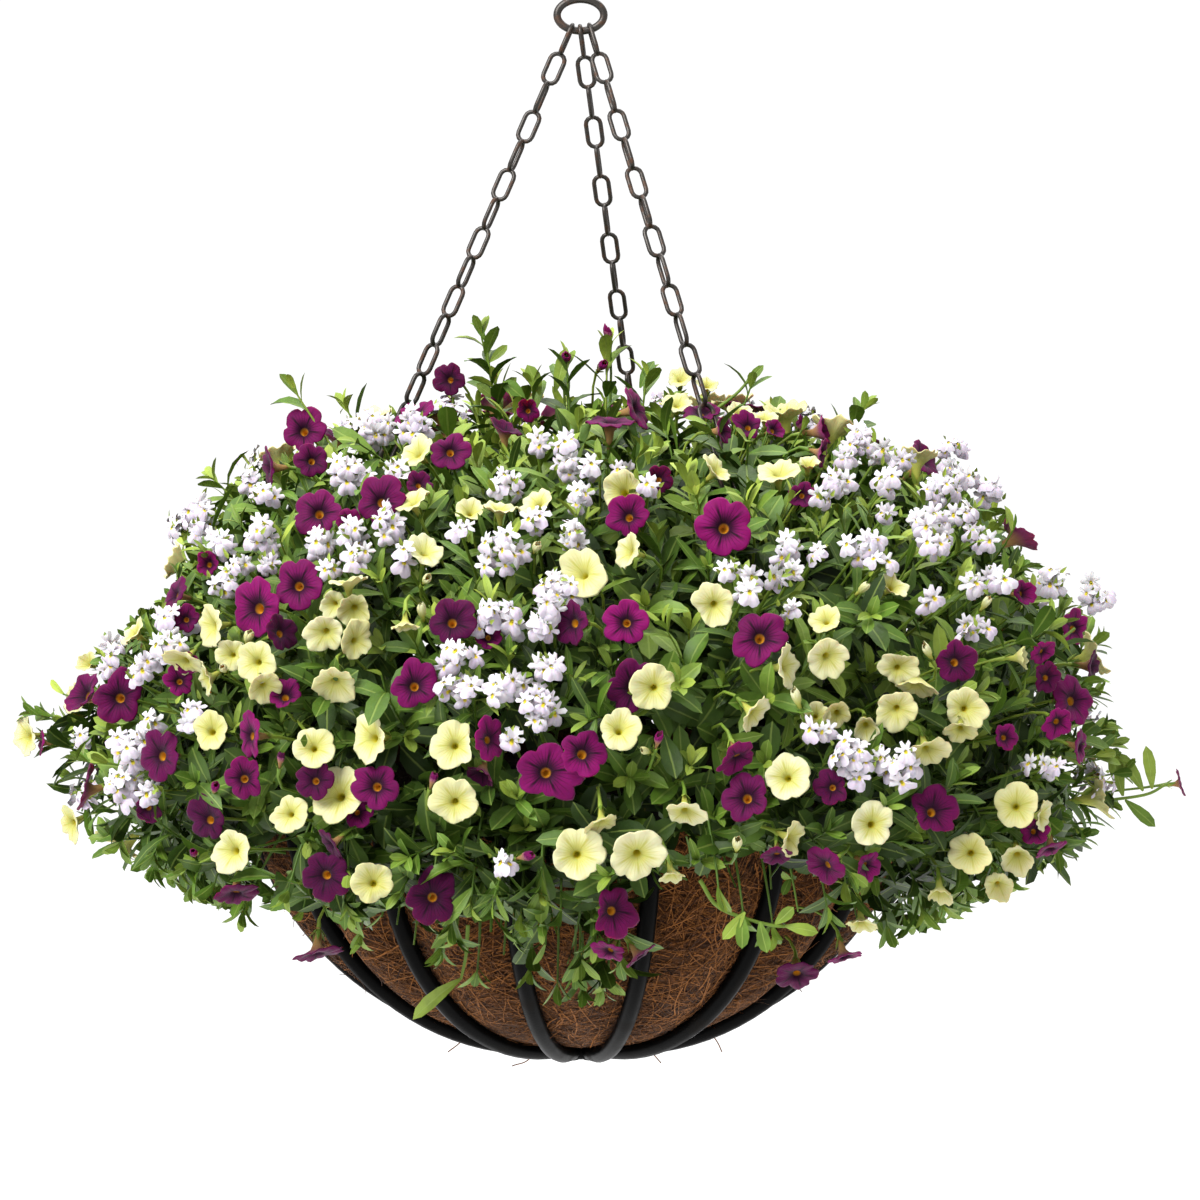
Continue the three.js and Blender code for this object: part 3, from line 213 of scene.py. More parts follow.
# The outline of the mound on the sheet, from left to right: its crown and its hem.
CROWN = (
    (15, 722), (40, 712), (70, 682), (85, 645), (115, 632), (148, 602), (170, 590), (195, 560), (180, 500),
    (200, 487), (245, 478), (262, 420), (285, 388), (345, 400), (400, 404), (450, 365), (480, 385),
    (514, 374), (566, 356), (608, 342), (650, 366), (707, 380), (757, 376), (815, 402), (858, 418),
    (900, 440), (950, 426), (975, 462), (1010, 492), (1030, 560), (1065, 575), (1095, 577), (1112, 610),
    (1120, 715), (1135, 745), (1190, 780),
)
HEM = (
    (15, 745), (40, 770), (60, 800), (75, 840), (110, 858), (150, 878), (205, 903), (236, 912), (270, 900),
    (300, 915), (330, 942), (400, 922), (460, 922), (500, 948), (560, 972), (609, 992), (640, 960),
    (660, 892), (700, 870), (720, 892), (770, 905), (800, 880), (825, 882), (860, 930), (900, 942),
    (940, 925), (965, 912), (1008, 882), (1050, 868), (1085, 842), (1110, 828), (1158, 822), (1190, 790),
)


def paint(red: int, green: int, blue: int) -> Colour:
    """A display colour of 0 to 255 as linear light, less what the studio's light adds to it."""
    shares = (red / 255, green / 255, blue / 255)
    return *((c / 12.92 if c <= 0.04045 else ((c + 0.055) / 1.055) ** 2.4) / STUDIO_GAIN for c in shares), 1.0


def unit(vectors: Array) -> Array:
    """The vectors, each cut or stretched to a length of 1."""
    return vectors / np.maximum(np.linalg.norm(vectors, axis=-1, keepdims=True), 1e-9)


def whole_turn(steps: int) -> Array:
    """Angles that share out a whole turn."""
    return 2 * math.pi * np.arange(steps) / steps


def square_up(ahead: Array) -> tuple[Array, Array]:
    """Two directions that square up each of a row of directions.

    Args:
        ahead: Unit directions, one in a row.

    Returns:
        The direction to the right and the one upwards, seen along each.
    """
    steep = np.abs(ahead[..., 2:3]) > 0.9
    right = unit(np.cross(ahead, np.where(steep, ACROSS, UP)))
    return right, np.cross(right, ahead)


def lattice(rows: int, columns: int, ring: bool = True, loop: bool = False) -> Array:
    """The triangles of a lattice of points.

    Args:
        rows: Rows of points.
        columns: Points in a row.
        ring: Whether each row closes on itself.
        loop: Whether the last row meets the first.

    Returns:
        Three point numbers in a row.
    """
    high, wide = rows if loop else rows - 1, columns if ring else columns - 1
    row, column = np.arange(high).repeat(wide), np.tile(np.arange(wide), high)
    below, beside = (row + 1) % rows, (column + 1) % columns
    a, b = row * columns + column, row * columns + beside
    c, d = below * columns + column, below * columns + beside
    return np.concatenate([np.stack([a, b, d], 1), np.stack([a, d, c], 1)])


class Draw:
    """A seeded generator of even numbers from 0 to 1."""

    WORD = 0xFFFFFFFF
    STEP = 0x6D2B79F5

    def __init__(self, seed: int) -> None:
        """Starts the run that belongs to the seed."""
        self.state = seed & self.WORD

    def __call__(self) -> float:
        """Takes the next number of the run.

        Returns:
            The number, from 0 up to 1.
        """
        self.state = (self.state + self.STEP) & self.WORD
        mixed = ((self.state ^ (self.state >> 15)) * (self.state | 1)) & self.WORD
        turned = ((mixed ^ (mixed >> 7)) * (mixed | 61)) & self.WORD
        mixed = ((mixed + turned) & self.WORD) ^ mixed
        return (mixed ^ (mixed >> 14)) / (self.WORD + 1)


@dataclass(frozen=True)
class Sheet:
    """The front elevation on which the flowers are planned."""

    unit: float = 0.525
    middle: float = 600.0
    eye: Triple = (0.0, -1485.0, 209.0)
    aim: Triple = (10.0, 0.0, 80.0)
    eye_lift: float = 8.0

    @property
    def distance(self) -> float:
        """How many sheet units the eye stands off."""
        return float(np.linalg.norm(self.eye)) / self.unit

    def axes(self) -> tuple[Array, Array, Array]:
        """The sheet's own directions.

        Returns:
            The directions ahead, to the right and upwards.
        """
        ahead = unit(np.subtract(self.aim, self.eye))
        right = unit(np.cross(ahead, UP))
        return ahead, right, np.cross(right, ahead)

    def sights(self, across: Array, down: Array) -> Array:
        """The sight lines from the eye through places on the sheet.

        Args:
            across: How far to the right each place is.
            down: How far down it is.

        Returns:
            A direction for each place.
        """
        ahead, right, up = self.axes()
        sideways = np.multiply.outer(np.asarray(across, float) - self.middle, right)
        upwards = np.multiply.outer(self.middle - np.asarray(down, float), up)
        return unit(ahead * self.distance + sideways + upwards)

    def places(self, points: Array) -> tuple[Array, Array]:
        """Where points in space lie on the sheet.

        Args:
            points: Points, one in a row.

        Returns:
            How far across and how far down each is.
        """
        ahead, right, up = self.axes()
        away = points - np.array(self.eye)
        scale = self.distance / (away @ ahead)
        return self.middle + scale * (away @ right), self.middle - scale * (away @ up)

    def at_depth(self, across: Array, down: Array, depth: float) -> Array:
        """Points of the sight lines on the upright plane where Y is the depth."""
        sights, eye = self.sights(across, down), np.array(self.eye)
        return eye + sights * ((depth - eye[1]) / sights[:, 1])[:, None]

    def facing(self, yaw: Array, pitch: Array) -> Array:
        """Directions turned from the eye by yaw to the right and pitch upwards, in degrees."""
        turn, lift = np.radians(yaw), np.radians(np.asarray(pitch) + self.eye_lift)
        return np.stack([np.sin(turn) * np.cos(lift), -np.cos(turn) * np.cos(lift), np.sin(lift)], -1)


@dataclass(frozen=True)
class Mound:
    """The rounded heap that the plants make over the basket."""

    shift: float = 6.0
    across: float = 262.0
    deep: float = 250.0
    up: float = 185.0
    down: float = 105.0
    power: float = 2.4
    clearance: float = 22.0
    skirt: float = 125.0
    probe: float = 0.5
    # From where to where along a sight line the mound is looked for, and the step.
    search: Triple = (1150.0, 1560.0, 2.0)
    fill_tries: int = 4000
    fill_low: float = -0.5
    fill_high: float = 2.4
    back_from: float = 18.0
    wrap_reach: float = 300.0
    sheet: Sheet = field(default_factory=Sheet)

    @property
    def centre(self) -> Array:
        """The middle of the mound."""
        return np.array([self.shift, 0.0, 0.0])

    def level(self, points: Array) -> Array:
        """How far out points are.

        Args:
            points: Points in space.

        Returns:
            A number below 1 inside the mound and 1 on its surface.
        """
        height = np.where(points[..., 2] > 0, self.up, self.down)
        shares = (
            np.abs(points[..., 0] - self.shift) / self.across,
            np.abs(points[..., 1]) / self.deep, np.abs(points[..., 2]) / height,
        )
        return sum(share ** self.power for share in shares)

    def fringe(self, points: Array) -> Array:
        """How far out points are in the skirt of trailing stems round the bowl.

        Args:
            points: Points in space.

        Returns:
            A number below 1 inside the skirt and 1 on its surface.
        """
        reach = np.hypot(points[..., 0], points[..., 1]) / (RIM_OUTER_RADIUS + self.clearance)
        value = reach ** 2 + (points[..., 2] / (BOWL_DEPTH + self.clearance)) ** 2
        return np.where((points[..., 2] > 0) | (points[..., 2] < -self.skirt), np.inf, value)

    def normals(self, points: Array) -> Array:
        """The outward directions of the mound at points."""
        slopes = [self.level(points + step) - self.level(points - step) for step in np.eye(3) * self.probe]
        return unit(np.stack(slopes, -1))

    def out(self, rays: Array) -> Array:
        """Where rays from the middle leave the mound."""
        return self.centre + rays * self.level(self.centre + rays)[..., None] ** (-1 / self.power)

    def seats(self, across: Array, down: Array) -> Array:
        """Where the sight lines of places on the sheet meet the mound or its middle plane.

        Args:
            across: How far to the right each place is.
            down: How far down it is.

        Returns:
            A point for each place.
        """
        sights = self.sheet.sights(across, down)
        eye = np.array(self.sheet.eye)
        reach = np.arange(*self.search)
        points = eye + sights[:, None, :] * reach[:, None]
        inside = (self.level(points) < 1) | (self.fringe(points) < 1)
        first = points[np.arange(len(points)), inside.argmax(1)]
        plane = eye - sights * (eye[1] / sights[:, 1])[:, None]
        return np.where(inside.any(1)[:, None], first, plane)

    def fill(self, count: int, spacing: float, seed: int, taken: Array, wrap: float = 0.0) -> Array:
        """Places on the back and far sides, spread by a seeded draw.

        Args:
            count: How many places at most.
            spacing: The least distance to the places already taken.
            seed: The seed of the draw.
            taken: Places already taken, one in a row.
            wrap: How far the places come round the sides to the front, in radians.

        Returns:
            The new places, one in a row.
        """
        draw, places = Draw(seed), list(taken)
        kept = len(places)
        for _ in range(self.fill_tries):
            if len(places) - kept == count:
                break
            azimuth = draw() * (math.pi + 2 * wrap) - wrap
            height = draw() * (self.fill_high - self.fill_low) + self.fill_low
            point = self.out(np.array([math.cos(azimuth), math.sin(azimuth), height]))
            gap = np.linalg.norm(np.array(places) - point, axis=1).min()
            if point[1] > self.back_from - self.wrap_reach * wrap and gap > spacing:
                places.append(point)
        return np.array(places[kept:]).reshape(-1, 3)


MOUND = Mound()
# How far the extra flowers come round the sides to the front, in radians.
SIDE_WRAP = 0.42
# A height that no place on the sheet reaches.
FAR = 9e3
# How far inside the outline and how high the flowers of the sides and back have to be.
FILL_MARGIN = 16
FILL_FLOOR = -62
# The room that leaves keep from the bowl: round it, under it and up to its rim.
BOWL_ROOM = 5
BOWL_ROOM_BELOW = 8
RIM_LEVEL = 2


def within_outline(points: Array, margin: float) -> Array:
    """Whether points lie between the mound's crown and hem on the sheet.

    Args:
        points: Points in space, one in a row.
        margin: How far inside they have to be, in sheet units.

    Returns:
        A truth value for each point.
    """
    across, down = MOUND.sheet.places(points)
    crown = np.interp(across, *np.array(sorted(CROWN), float).T, left=FAR, right=FAR)
    hem = np.interp(across, *np.array(HEM, float).T, left=-FAR, right=-FAR)
    return (down > crown + margin) & (down < hem - margin)


def before_coir(foot: Array, ends: Array) -> Array:
    """Whether leaves would hide the coir where it shows.

    Args:
        foot: Where each leaf starts.
        ends: Where each leaf ends.

    Returns:
        A truth value for each leaf.
    """
    gaps = np.array(COIR_GAPS, float)
    hidden = np.zeros(len(foot), bool)
    for share in (0.0, 0.5, 1.0):
        across, down = MOUND.sheet.places(foot + (ends - foot) * share)
        aside = (across[:, None] - gaps[:, 0]) / gaps[:, 2]
        below = (down[:, None] - gaps[:, 1]) / gaps[:, 3]
        hidden |= (aside ** 2 + below ** 2 < 1).any(1)
    return hidden & (foot[:, 1] < 0)


def clear_of_bowl(points: Array) -> Array:
    """Whether points are outside the wire bowl or above it.

    Args:
        points: Points in space.

    Returns:
        A truth value for each point.
    """
    aside = np.hypot(points[..., 0], points[..., 1]) / (RIM_OUTER_RADIUS + BOWL_ROOM)
    below = points[..., 2] / (BOWL_DEPTH + BOWL_ROOM_BELOW)
    return np.where(points[..., 2] < RIM_LEVEL, aside ** 2 + below ** 2 > 1, True)


class MeshBatch:
    """Triangles gathered for one mesh, with a number for each trait at each point."""

    def __init__(self, *traits: str) -> None:
        """Starts an empty batch.

        Args:
            *traits: The names of the numbers that its points carry.
        """
        self.points: list[Array] = []
        self.triangles: list[Array] = []
        self.traits: dict[str, list[Array]] = {trait: [] for trait in traits}
        self.count = 0

    def add(self, points: Array, triangles: Array, **traits: Array | float) -> None:
        """Adds copies of a patch.

        Args:
            points: The points of the copies, in one or more axes for each copy.
            triangles: The triangles of one copy.
            **traits: Numbers that fit the points' axes.
        """
        copies, size = len(points), math.prod(points.shape[1:-1])
        starts = self.count + size * np.arange(copies)
        self.triangles.append((triangles[None] + starts[:, None, None]).reshape(-1, 3))
        self.points.append(points.reshape(-1, 3))
        for name, values in self.traits.items():
            values.append(np.broadcast_to(traits.get(name, 0.0), points.shape[:-1]).reshape(-1))
        self.count += copies * size

    def piece(self, name: str, slot: str, finish: Material, *nodes: str) -> bpy.types.Object:
        """Makes the mesh and seats it in the frame.

        Args:
            name: The piece's name.
            slot: Not used.
            finish: Its material.
            *nodes: The solids that it stands for.

        Returns:
            The new object.
        """
        points = np.concatenate(self.points)
        points = (points - np.array([0.0, 0.0, RIM_DROP])) * METRE
        triangles = np.concatenate(self.triangles).astype(np.int32)
        mesh = bpy.data.meshes.new(name)
        mesh.vertices.add(len(points))
        mesh.vertices.foreach_set("co", points.ravel())
        mesh.loops.add(triangles.size)
        mesh.loops.foreach_set("vertex_index", triangles.ravel())
        mesh.polygons.add(len(triangles))
        mesh.polygons.foreach_set("loop_start", np.arange(0, triangles.size, 3, dtype=np.int32))
        for trait, values in self.traits.items():
            layer = mesh.attributes.new(trait, "FLOAT", "POINT")
            layer.data.foreach_set("value", np.concatenate(values).astype(np.float32))
        mesh.update(calc_edges=True)
        mesh.validate()
        mesh.shade_smooth()
        mesh.materials.append(finish)
        piece = bpy.data.objects.new(name, mesh)
        bpy.context.scene.collection.objects.link(piece)
        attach(piece, BODY)
        if nodes:
            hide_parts(*nodes)
        LOG.info("%s: %d triangles", name, len(triangles))
        return piece


def tubes(paths: Array, radii: Array | float, sides: int, level: Array = UP,
          loop: bool = False) -> tuple[Array, Array]:
    """Round tubes along runs of points.

    Args:
        paths: Runs of points, as runs by points by 3.
        radii: A radius for each point of each run, or what fits them.
        sides: The sides of a tube.
        level: The direction that the sections are turned by.
        loop: Whether each run closes on itself.

    Returns:
        The points of the tubes and the triangles of one.
    """
    if loop:
        ahead = unit(np.roll(paths, -1, 1) - np.roll(paths, 1, 1))
    else:
        ahead = unit(np.gradient(paths, axis=1))
    flat = np.abs((ahead * level).sum(-1, keepdims=True)) > 0.95
    right = unit(np.cross(ahead, np.where(flat, ACROSS + 0.01, level)))
    up = np.cross(right, ahead)
    turn = whole_turn(sides)
    ring = right[:, :, None] * np.cos(turn)[:, None] + up[:, :, None] * np.sin(turn)[:, None]
    wide = np.broadcast_to(radii, paths.shape[:2])[:, :, None, None]
    points = (paths[:, :, None] + wide * ring).reshape(len(paths), -1, 3)
    return points, lattice(paths.shape[1], sides, loop=loop)


def curve_through(points: Array, steps: int) -> Array:
    """A smooth run of points through a few given ones.

    Args:
        points: The given points, one in a row.
        steps: How many points the run has between two given ones.

    Returns:
        The run, one point in a row.
    """
    held = np.concatenate([2 * points[:1] - points[1:2], points, 2 * points[-1:] - points[-2:-1]])
    share = np.linspace(0, 1, steps, endpoint=False)[:, None]
    runs = []
    for a, b, c, d in zip(held, held[1:], held[2:], held[3:]):
        runs.append(0.5 * (2 * b + (c - a) * share + (2 * a - 5 * b + 4 * c - d) * share ** 2
                           + (3 * b - a - 3 * c + d) * share ** 3))
    return np.concatenate([*runs, points[-1:]])


# ---- Finishes ----
class Graph:
    """The node tree of one material."""

    def __init__(self, name: str) -> None:
        """Starts a material with a plain shader.

        Args:
            name: The material's name.
        """
        self.material = bpy.data.materials.new(name)
        self.material.use_nodes = True
        self.tree = self.material.node_tree
        self.shader = self.tree.nodes["Principled BSDF"]

    def node(self, kind: str, inputs: dict[str | int, object], **settings: object) -> bpy.types.Node:
        """Adds a node.

        Args:
            kind: The kind of node.
            inputs: What each input is joined to or set to.
            **settings: The node's own settings.

        Returns:
            The new node.
        """
        made = self.tree.nodes.new(kind)
        for key, value in settings.items():
            setattr(made, key, value)
        for key, value in inputs.items():
            self.feed(made.inputs[key], value)
        return made

    def feed(self, entry: Socket, value: object) -> None:
        """Joins an input to a socket, or sets it to a value.

        Args:
            entry: The input.
            value: The socket or the value.
        """
        if isinstance(value, Socket):
            self.tree.links.new(value, entry)
        else:
            entry.default_value = value

    def trait(self, name: str) -> Socket:
        """The number that each point of the mesh carries under a name."""
        return self.node("ShaderNodeAttribute", {}, attribute_name=name).outputs["Fac"]

    def math(self, operation: str, first: Socket | float, second: Socket | float = 0.0) -> Socket:
        """The result of a sum, held between 0 and 1."""
        node = self.node("ShaderNodeMath", {0: first, 1: second}, operation=operation, use_clamp=True)
        return node.outputs[0]

    def band(self, value: Socket, low: float, high: float) -> Socket:
        """Climbs smoothly from 0 where the value is low to 1 where it is high."""
        inputs = {"Value": value, "From Min": low, "From Max": high}
        return self.node("ShaderNodeMapRange", inputs, interpolation_type="SMOOTHSTEP").outputs[0]

    def ramp(self, value: Socket, *stops: tuple[float, Colour]) -> Socket:
        """A colour that runs through stops.

        Args:
            value: A number from 0 to 1.
            *stops: Values and the colours that belong to them.

        Returns:
            The colour at the value.
        """
        node = self.node("ShaderNodeValToRGB", {"Fac": value})
        elements = node.color_ramp.elements
        while len(elements) < len(stops):
            elements.new(0.5)
        for element, (place, colour) in zip(elements, stops):
            element.position, element.color = place, colour
        return node.outputs["Color"]

    def blend(self, share: Socket | float, first: Socket | Colour, second: Socket | Colour) -> Socket:
        """The first colour, with the second laid over it by a share from 0 to 1."""
        node = self.node("ShaderNodeMix", {0: share, 6: first, 7: second}, data_type="RGBA")
        return node.outputs[2]

    def noise(self, scale: float, detail: float = 3.0, stretch: Triple = (1, 1, 1)) -> Socket:
        """Cloudy noise over the piece.

        Args:
            scale: How many clouds there are in a metre.
            detail: How many finer layers they have.
            stretch: What the scale is multiplied by along each axis.

        Returns:
            A number from 0 to 1.
        """
        place = self.node("ShaderNodeTexCoord", {}).outputs["Object"]
        place = self.node("ShaderNodeMapping", {"Vector": place, "Scale": stretch}).outputs[0]
        node = self.node("ShaderNodeTexNoise", {"Vector": place, "Scale": scale, "Detail": detail})
        return node.outputs["Fac"]

    def bump(self, height: Socket, depth: float, strength: float = 1.0) -> None:
        """Raises the surface by a height, as deep as given in metres."""
        node = self.node("ShaderNodeBump", {"Height": height, "Distance": depth, "Strength": strength})
        self.tree.links.new(node.outputs[0], self.shader.inputs["Normal"])

    def dress(self, colour: Socket | Colour, roughness: Socket | float, **constants: float) -> Material:
        """Sets the shader.

        Args:
            colour: The base colour.
            roughness: The roughness.
            **constants: Other inputs of the shader, with _ for each space.

        Returns:
            The finished material.
        """
        for key, value in {"Base Color": colour, "Roughness": roughness, **constants}.items():
            self.feed(self.shader.inputs[key.replace("_", " ")], value)
        return self.material


@dataclass(frozen=True)
class PetalFinish:
    """Velvety petals with a veined throat and a paler or tanned back."""

    name: str
    pale: Colour
    full: Colour
    shade: Colour
    vein: Colour
    eye: Colour
    back: Colour
    tube: Colour
    vein_share: float
    halo: float
    sheen: float
    mottle: float = 90.0
    mottle_share: float = 0.35
    eye_edge: Pair = (0.11, 0.2)
    lines: float = 19.0
    skin: float = 420.0
    relief: float = 0.0004
    roughness: float = 0.62

    def make(self) -> Material:
        """Paints petals by their traits span, lobe, back, tube and tone.

        Returns:
            The petals' material.
        """
        graph = Graph(self.name)
        span, lobe, tone = graph.trait("span"), graph.trait("lobe"), graph.trait("tone")
        limb = graph.blend(tone, self.full, self.pale)
        mottle = graph.math("MULTIPLY", graph.band(graph.noise(self.mottle), 0.35, 0.75), self.mottle_share)
        limb = graph.blend(mottle, limb, self.shade)
        inner = graph.math("SUBTRACT", 1.0, graph.band(span, self.halo * 0.6, self.halo * 1.9))
        limb = graph.blend(inner, limb, self.shade)
        rib = graph.math("SUBTRACT", 1.0, graph.band(lobe, 0.04, 0.22))
        rib = graph.math("MULTIPLY", rib, graph.math("SUBTRACT", 1.0, graph.band(span, 0.5, 0.95)))
        fine = self.fan_of_lines(graph, lobe)
        fine = graph.math("MULTIPLY", fine, graph.math("SUBTRACT", 1.0, graph.band(span, 0.35, 1.0)))
        veins = graph.math("MAXIMUM", rib, graph.math("MULTIPLY", fine, 0.6))
        limb = graph.blend(graph.math("MULTIPLY", veins, self.vein_share), limb, self.vein)
        limb = graph.blend(graph.math("SUBTRACT", 1.0, graph.band(span, *self.eye_edge)), limb, self.eye)
        behind = graph.blend(graph.trait("tube"), self.back, self.tube)
        colour = graph.blend(graph.trait("back"), limb, behind)
        graph.bump(graph.math("ADD", graph.noise(self.skin), fine), self.relief, 0.5)
        return graph.dress(colour, self.roughness, Sheen_Weight=self.sheen, Specular_IOR_Level=0.06,
                           Subsurface_Weight=0.1, Subsurface_Scale=0.004)

    def fan_of_lines(self, graph: Graph, lobe: Socket) -> Socket:
        """Fine lines that fan out along each lobe."""
        turned = graph.node("ShaderNodeMath", {0: lobe, 1: self.lines}, operation="MULTIPLY").outputs[0]
        return graph.band(graph.node("ShaderNodeMath", {0: turned}, operation="COSINE").outputs[0], 0.55, 1.0)


@dataclass(frozen=True)
class LeafFinish:
    """Leaf green, from leaves painted dark for the shade deep and low in the mound to yellow-green tips."""

    name: str
    dark: Colour = paint(26, 46, 15)
    middle: Colour = paint(98, 134, 40)
    light: Colour = paint(182, 202, 80)
    rib: Colour = paint(166, 188, 92)
    blotches: float = 120.0
    blotch_share: float = 0.35
    rib_share: float = 0.45
    skin: float = 500.0
    relief: float = 0.0004
    roughness: float = 0.5

    def make(self) -> Material:
        """Paints leaves by their traits tone and edge.

        Returns:
            The leaves' material.
        """
        graph = Graph(self.name)
        edge, tone = graph.trait("edge"), graph.trait("tone")
        # The tone mixes the leaves' own variety and young tips with painted light high on the mound and
        # painted shade low and deep in it.
        colour = graph.ramp(tone, (0.0, self.dark), (0.5, self.middle), (1.0, self.light))
        blotch = graph.band(graph.noise(self.blotches), 0.35, 0.8)
        blotch = graph.math("MULTIPLY", blotch, self.blotch_share)
        colour = graph.blend(blotch, colour, self.dark)
        rib = graph.math("SUBTRACT", 1.0, graph.band(edge, 0.02, 0.16))
        colour = graph.blend(graph.math("MULTIPLY", rib, self.rib_share), colour, self.rib)
        graph.bump(graph.math("SUBTRACT", graph.noise(self.skin), rib), self.relief, 0.6)
        return graph.dress(colour, self.roughness, Specular_IOR_Level=0.22, Subsurface_Weight=0.05,
                           Subsurface_Scale=0.003)


@dataclass(frozen=True)
class MetalFinish:
    """Metal or coated wire that dust or rust covers in patches."""

    name: str
    clean: Colour
    cover: Colour
    share: float
    patches: Pair
    edge: Pair
    grain: Pair
    relief: Pair
    roughness: Pair
    shine: dict[str, float]

    def make(self) -> Material:
        """Paints the metal, rougher where it is covered.

        Returns:
            The metal's material.
        """
        graph = Graph(self.name)
        patch = graph.band(graph.noise(*self.patches), *self.edge)
        colour = graph.blend(graph.math("MULTIPLY", patch, self.share), self.clean, self.cover)
        graph.bump(graph.noise(*self.grain), *self.relief)
        low, high = self.roughness
        rough = graph.node("ShaderNodeMapRange", {"Value": patch, "To Min": low, "To Max": high}).outputs[0]
        return graph.dress(colour, rough, **self.shine)


@dataclass(frozen=True)
class CoirFinish:
    """Brown coconut fibre, matted, with painted shade in the hollows between the strands, and all painted
    darker for the shade under the mound.
    """

    name: str = "coir"
    # Painted shade: these colours are darkened for the shade that the mound casts on the coir, and the first
    # is the painted shade of the hollows.
    painted_hollow_shade: Colour = paint(24, 12, 6)
    matted: Colour = paint(60, 33, 15)
    raised: Colour = paint(104, 62, 31)
    strand: Colour = paint(172, 110, 56)
    upright: float = 330.0
    level: float = 420.0
    relief: float = 0.0016

    def make(self) -> Material:
        """Paints the mat, lighter where the trait tone is high.

        Returns:
            The fibre's material.
        """
        graph = Graph(self.name)
        strands = graph.noise(self.upright, 6.0, (1.0, 1.0, 0.35))
        cross = graph.noise(self.level, 5.0, (0.3, 0.3, 1.0))
        # The mat sets both the bump and the colour, so its low places get the painted hollow shade.
        mat = graph.math("MULTIPLY", graph.band(strands, 0.3, 0.72), graph.band(cross, 0.25, 0.7))
        colour = graph.ramp(mat, (0.0, self.painted_hollow_shade), (0.4, self.matted), (1.0, self.raised))
        colour = graph.blend(graph.math("MULTIPLY", graph.trait("tone"), 0.9), colour, self.strand)
        graph.bump(mat, self.relief, 1.0)
        return graph.dress(colour, 0.85, Specular_IOR_Level=0.06, Sheen_Weight=0.03)


@dataclass(frozen=True)
class SoilFinish:
    """Dark crumbly potting soil."""

    name: str = "soil"
    painted_crumb_shade: Colour = paint(26, 18, 13)
    crumb: Colour = paint(58, 42, 31)
    dry: Colour = paint(92, 72, 54)
    grain: float = 380.0
    relief: float = 0.003

    def make(self) -> Material:
        """Paints the crumbs, with painted shade in the hollows between them.

        Returns:
            The soil's material.
        """
        graph = Graph(self.name)
        crumbs = graph.noise(self.grain, 8.0)
        # Painted shade: the low places of the crumbs' bump take the darkest colour.
        colour = graph.ramp(crumbs, (0.3, self.painted_crumb_shade), (0.6, self.crumb), (0.8, self.dry))
        graph.bump(crumbs, self.relief, 1.0)
        return graph.dress(colour, 0.95, Specular_IOR_Level=0.15)


PURPLE = PetalFinish(
    name="purple_petal", pale=paint(136, 10, 98), full=paint(74, 4, 56), shade=paint(48, 2, 38),
    vein=paint(26, 0, 20), eye=paint(240, 164, 30), back=paint(142, 60, 108),
    tube=paint(172, 136, 80), vein_share=0.95, halo=0.34, sheen=0.04,
)
YELLOW = PetalFinish(
    name="yellow_petal", pale=paint(233, 230, 188), full=paint(221, 218, 162),
    shade=paint(208, 206, 114), vein=paint(190, 188, 86), eye=paint(222, 208, 52),
    back=paint(216, 214, 146), tube=paint(186, 190, 84), vein_share=0.75, halo=0.42, sheen=0.0,
)
NEMESIA = PetalFinish(
    name="nemesia_petal", pale=paint(252, 250, 250), full=paint(236, 226, 238),
    shade=paint(226, 212, 230), vein=paint(190, 164, 206), eye=paint(246, 222, 60),
    back=paint(226, 220, 226), tube=paint(180, 190, 120), vein_share=0.35, halo=0.2, sheen=0.0,
)

# Black satin wire, dusty in places, and bronzed steel with a faint bloom of rust.
WIRE = MetalFinish(
    name="coated_wire", clean=paint(8, 8, 8), cover=paint(40, 34, 28), share=0.35, patches=(60.0, 5.0),
    edge=(0.5, 0.8), grain=(900.0, 2.0), relief=(0.0002, 0.4), roughness=(0.42, 0.62),
    shine={"Specular_IOR_Level": 0.05, "IOR": 1.3},
)
STEEL = MetalFinish(
    name="chain_steel", clean=paint(66, 62, 58), cover=paint(92, 66, 50), share=1.0, patches=(260.0, 6.0),
    edge=(0.48, 0.7), grain=(1500.0, 3.0), relief=(0.0001, 0.5), roughness=(0.34, 0.7),
    shine={"Metallic": 0.6, "Specular_IOR_Level": 0.4},
)


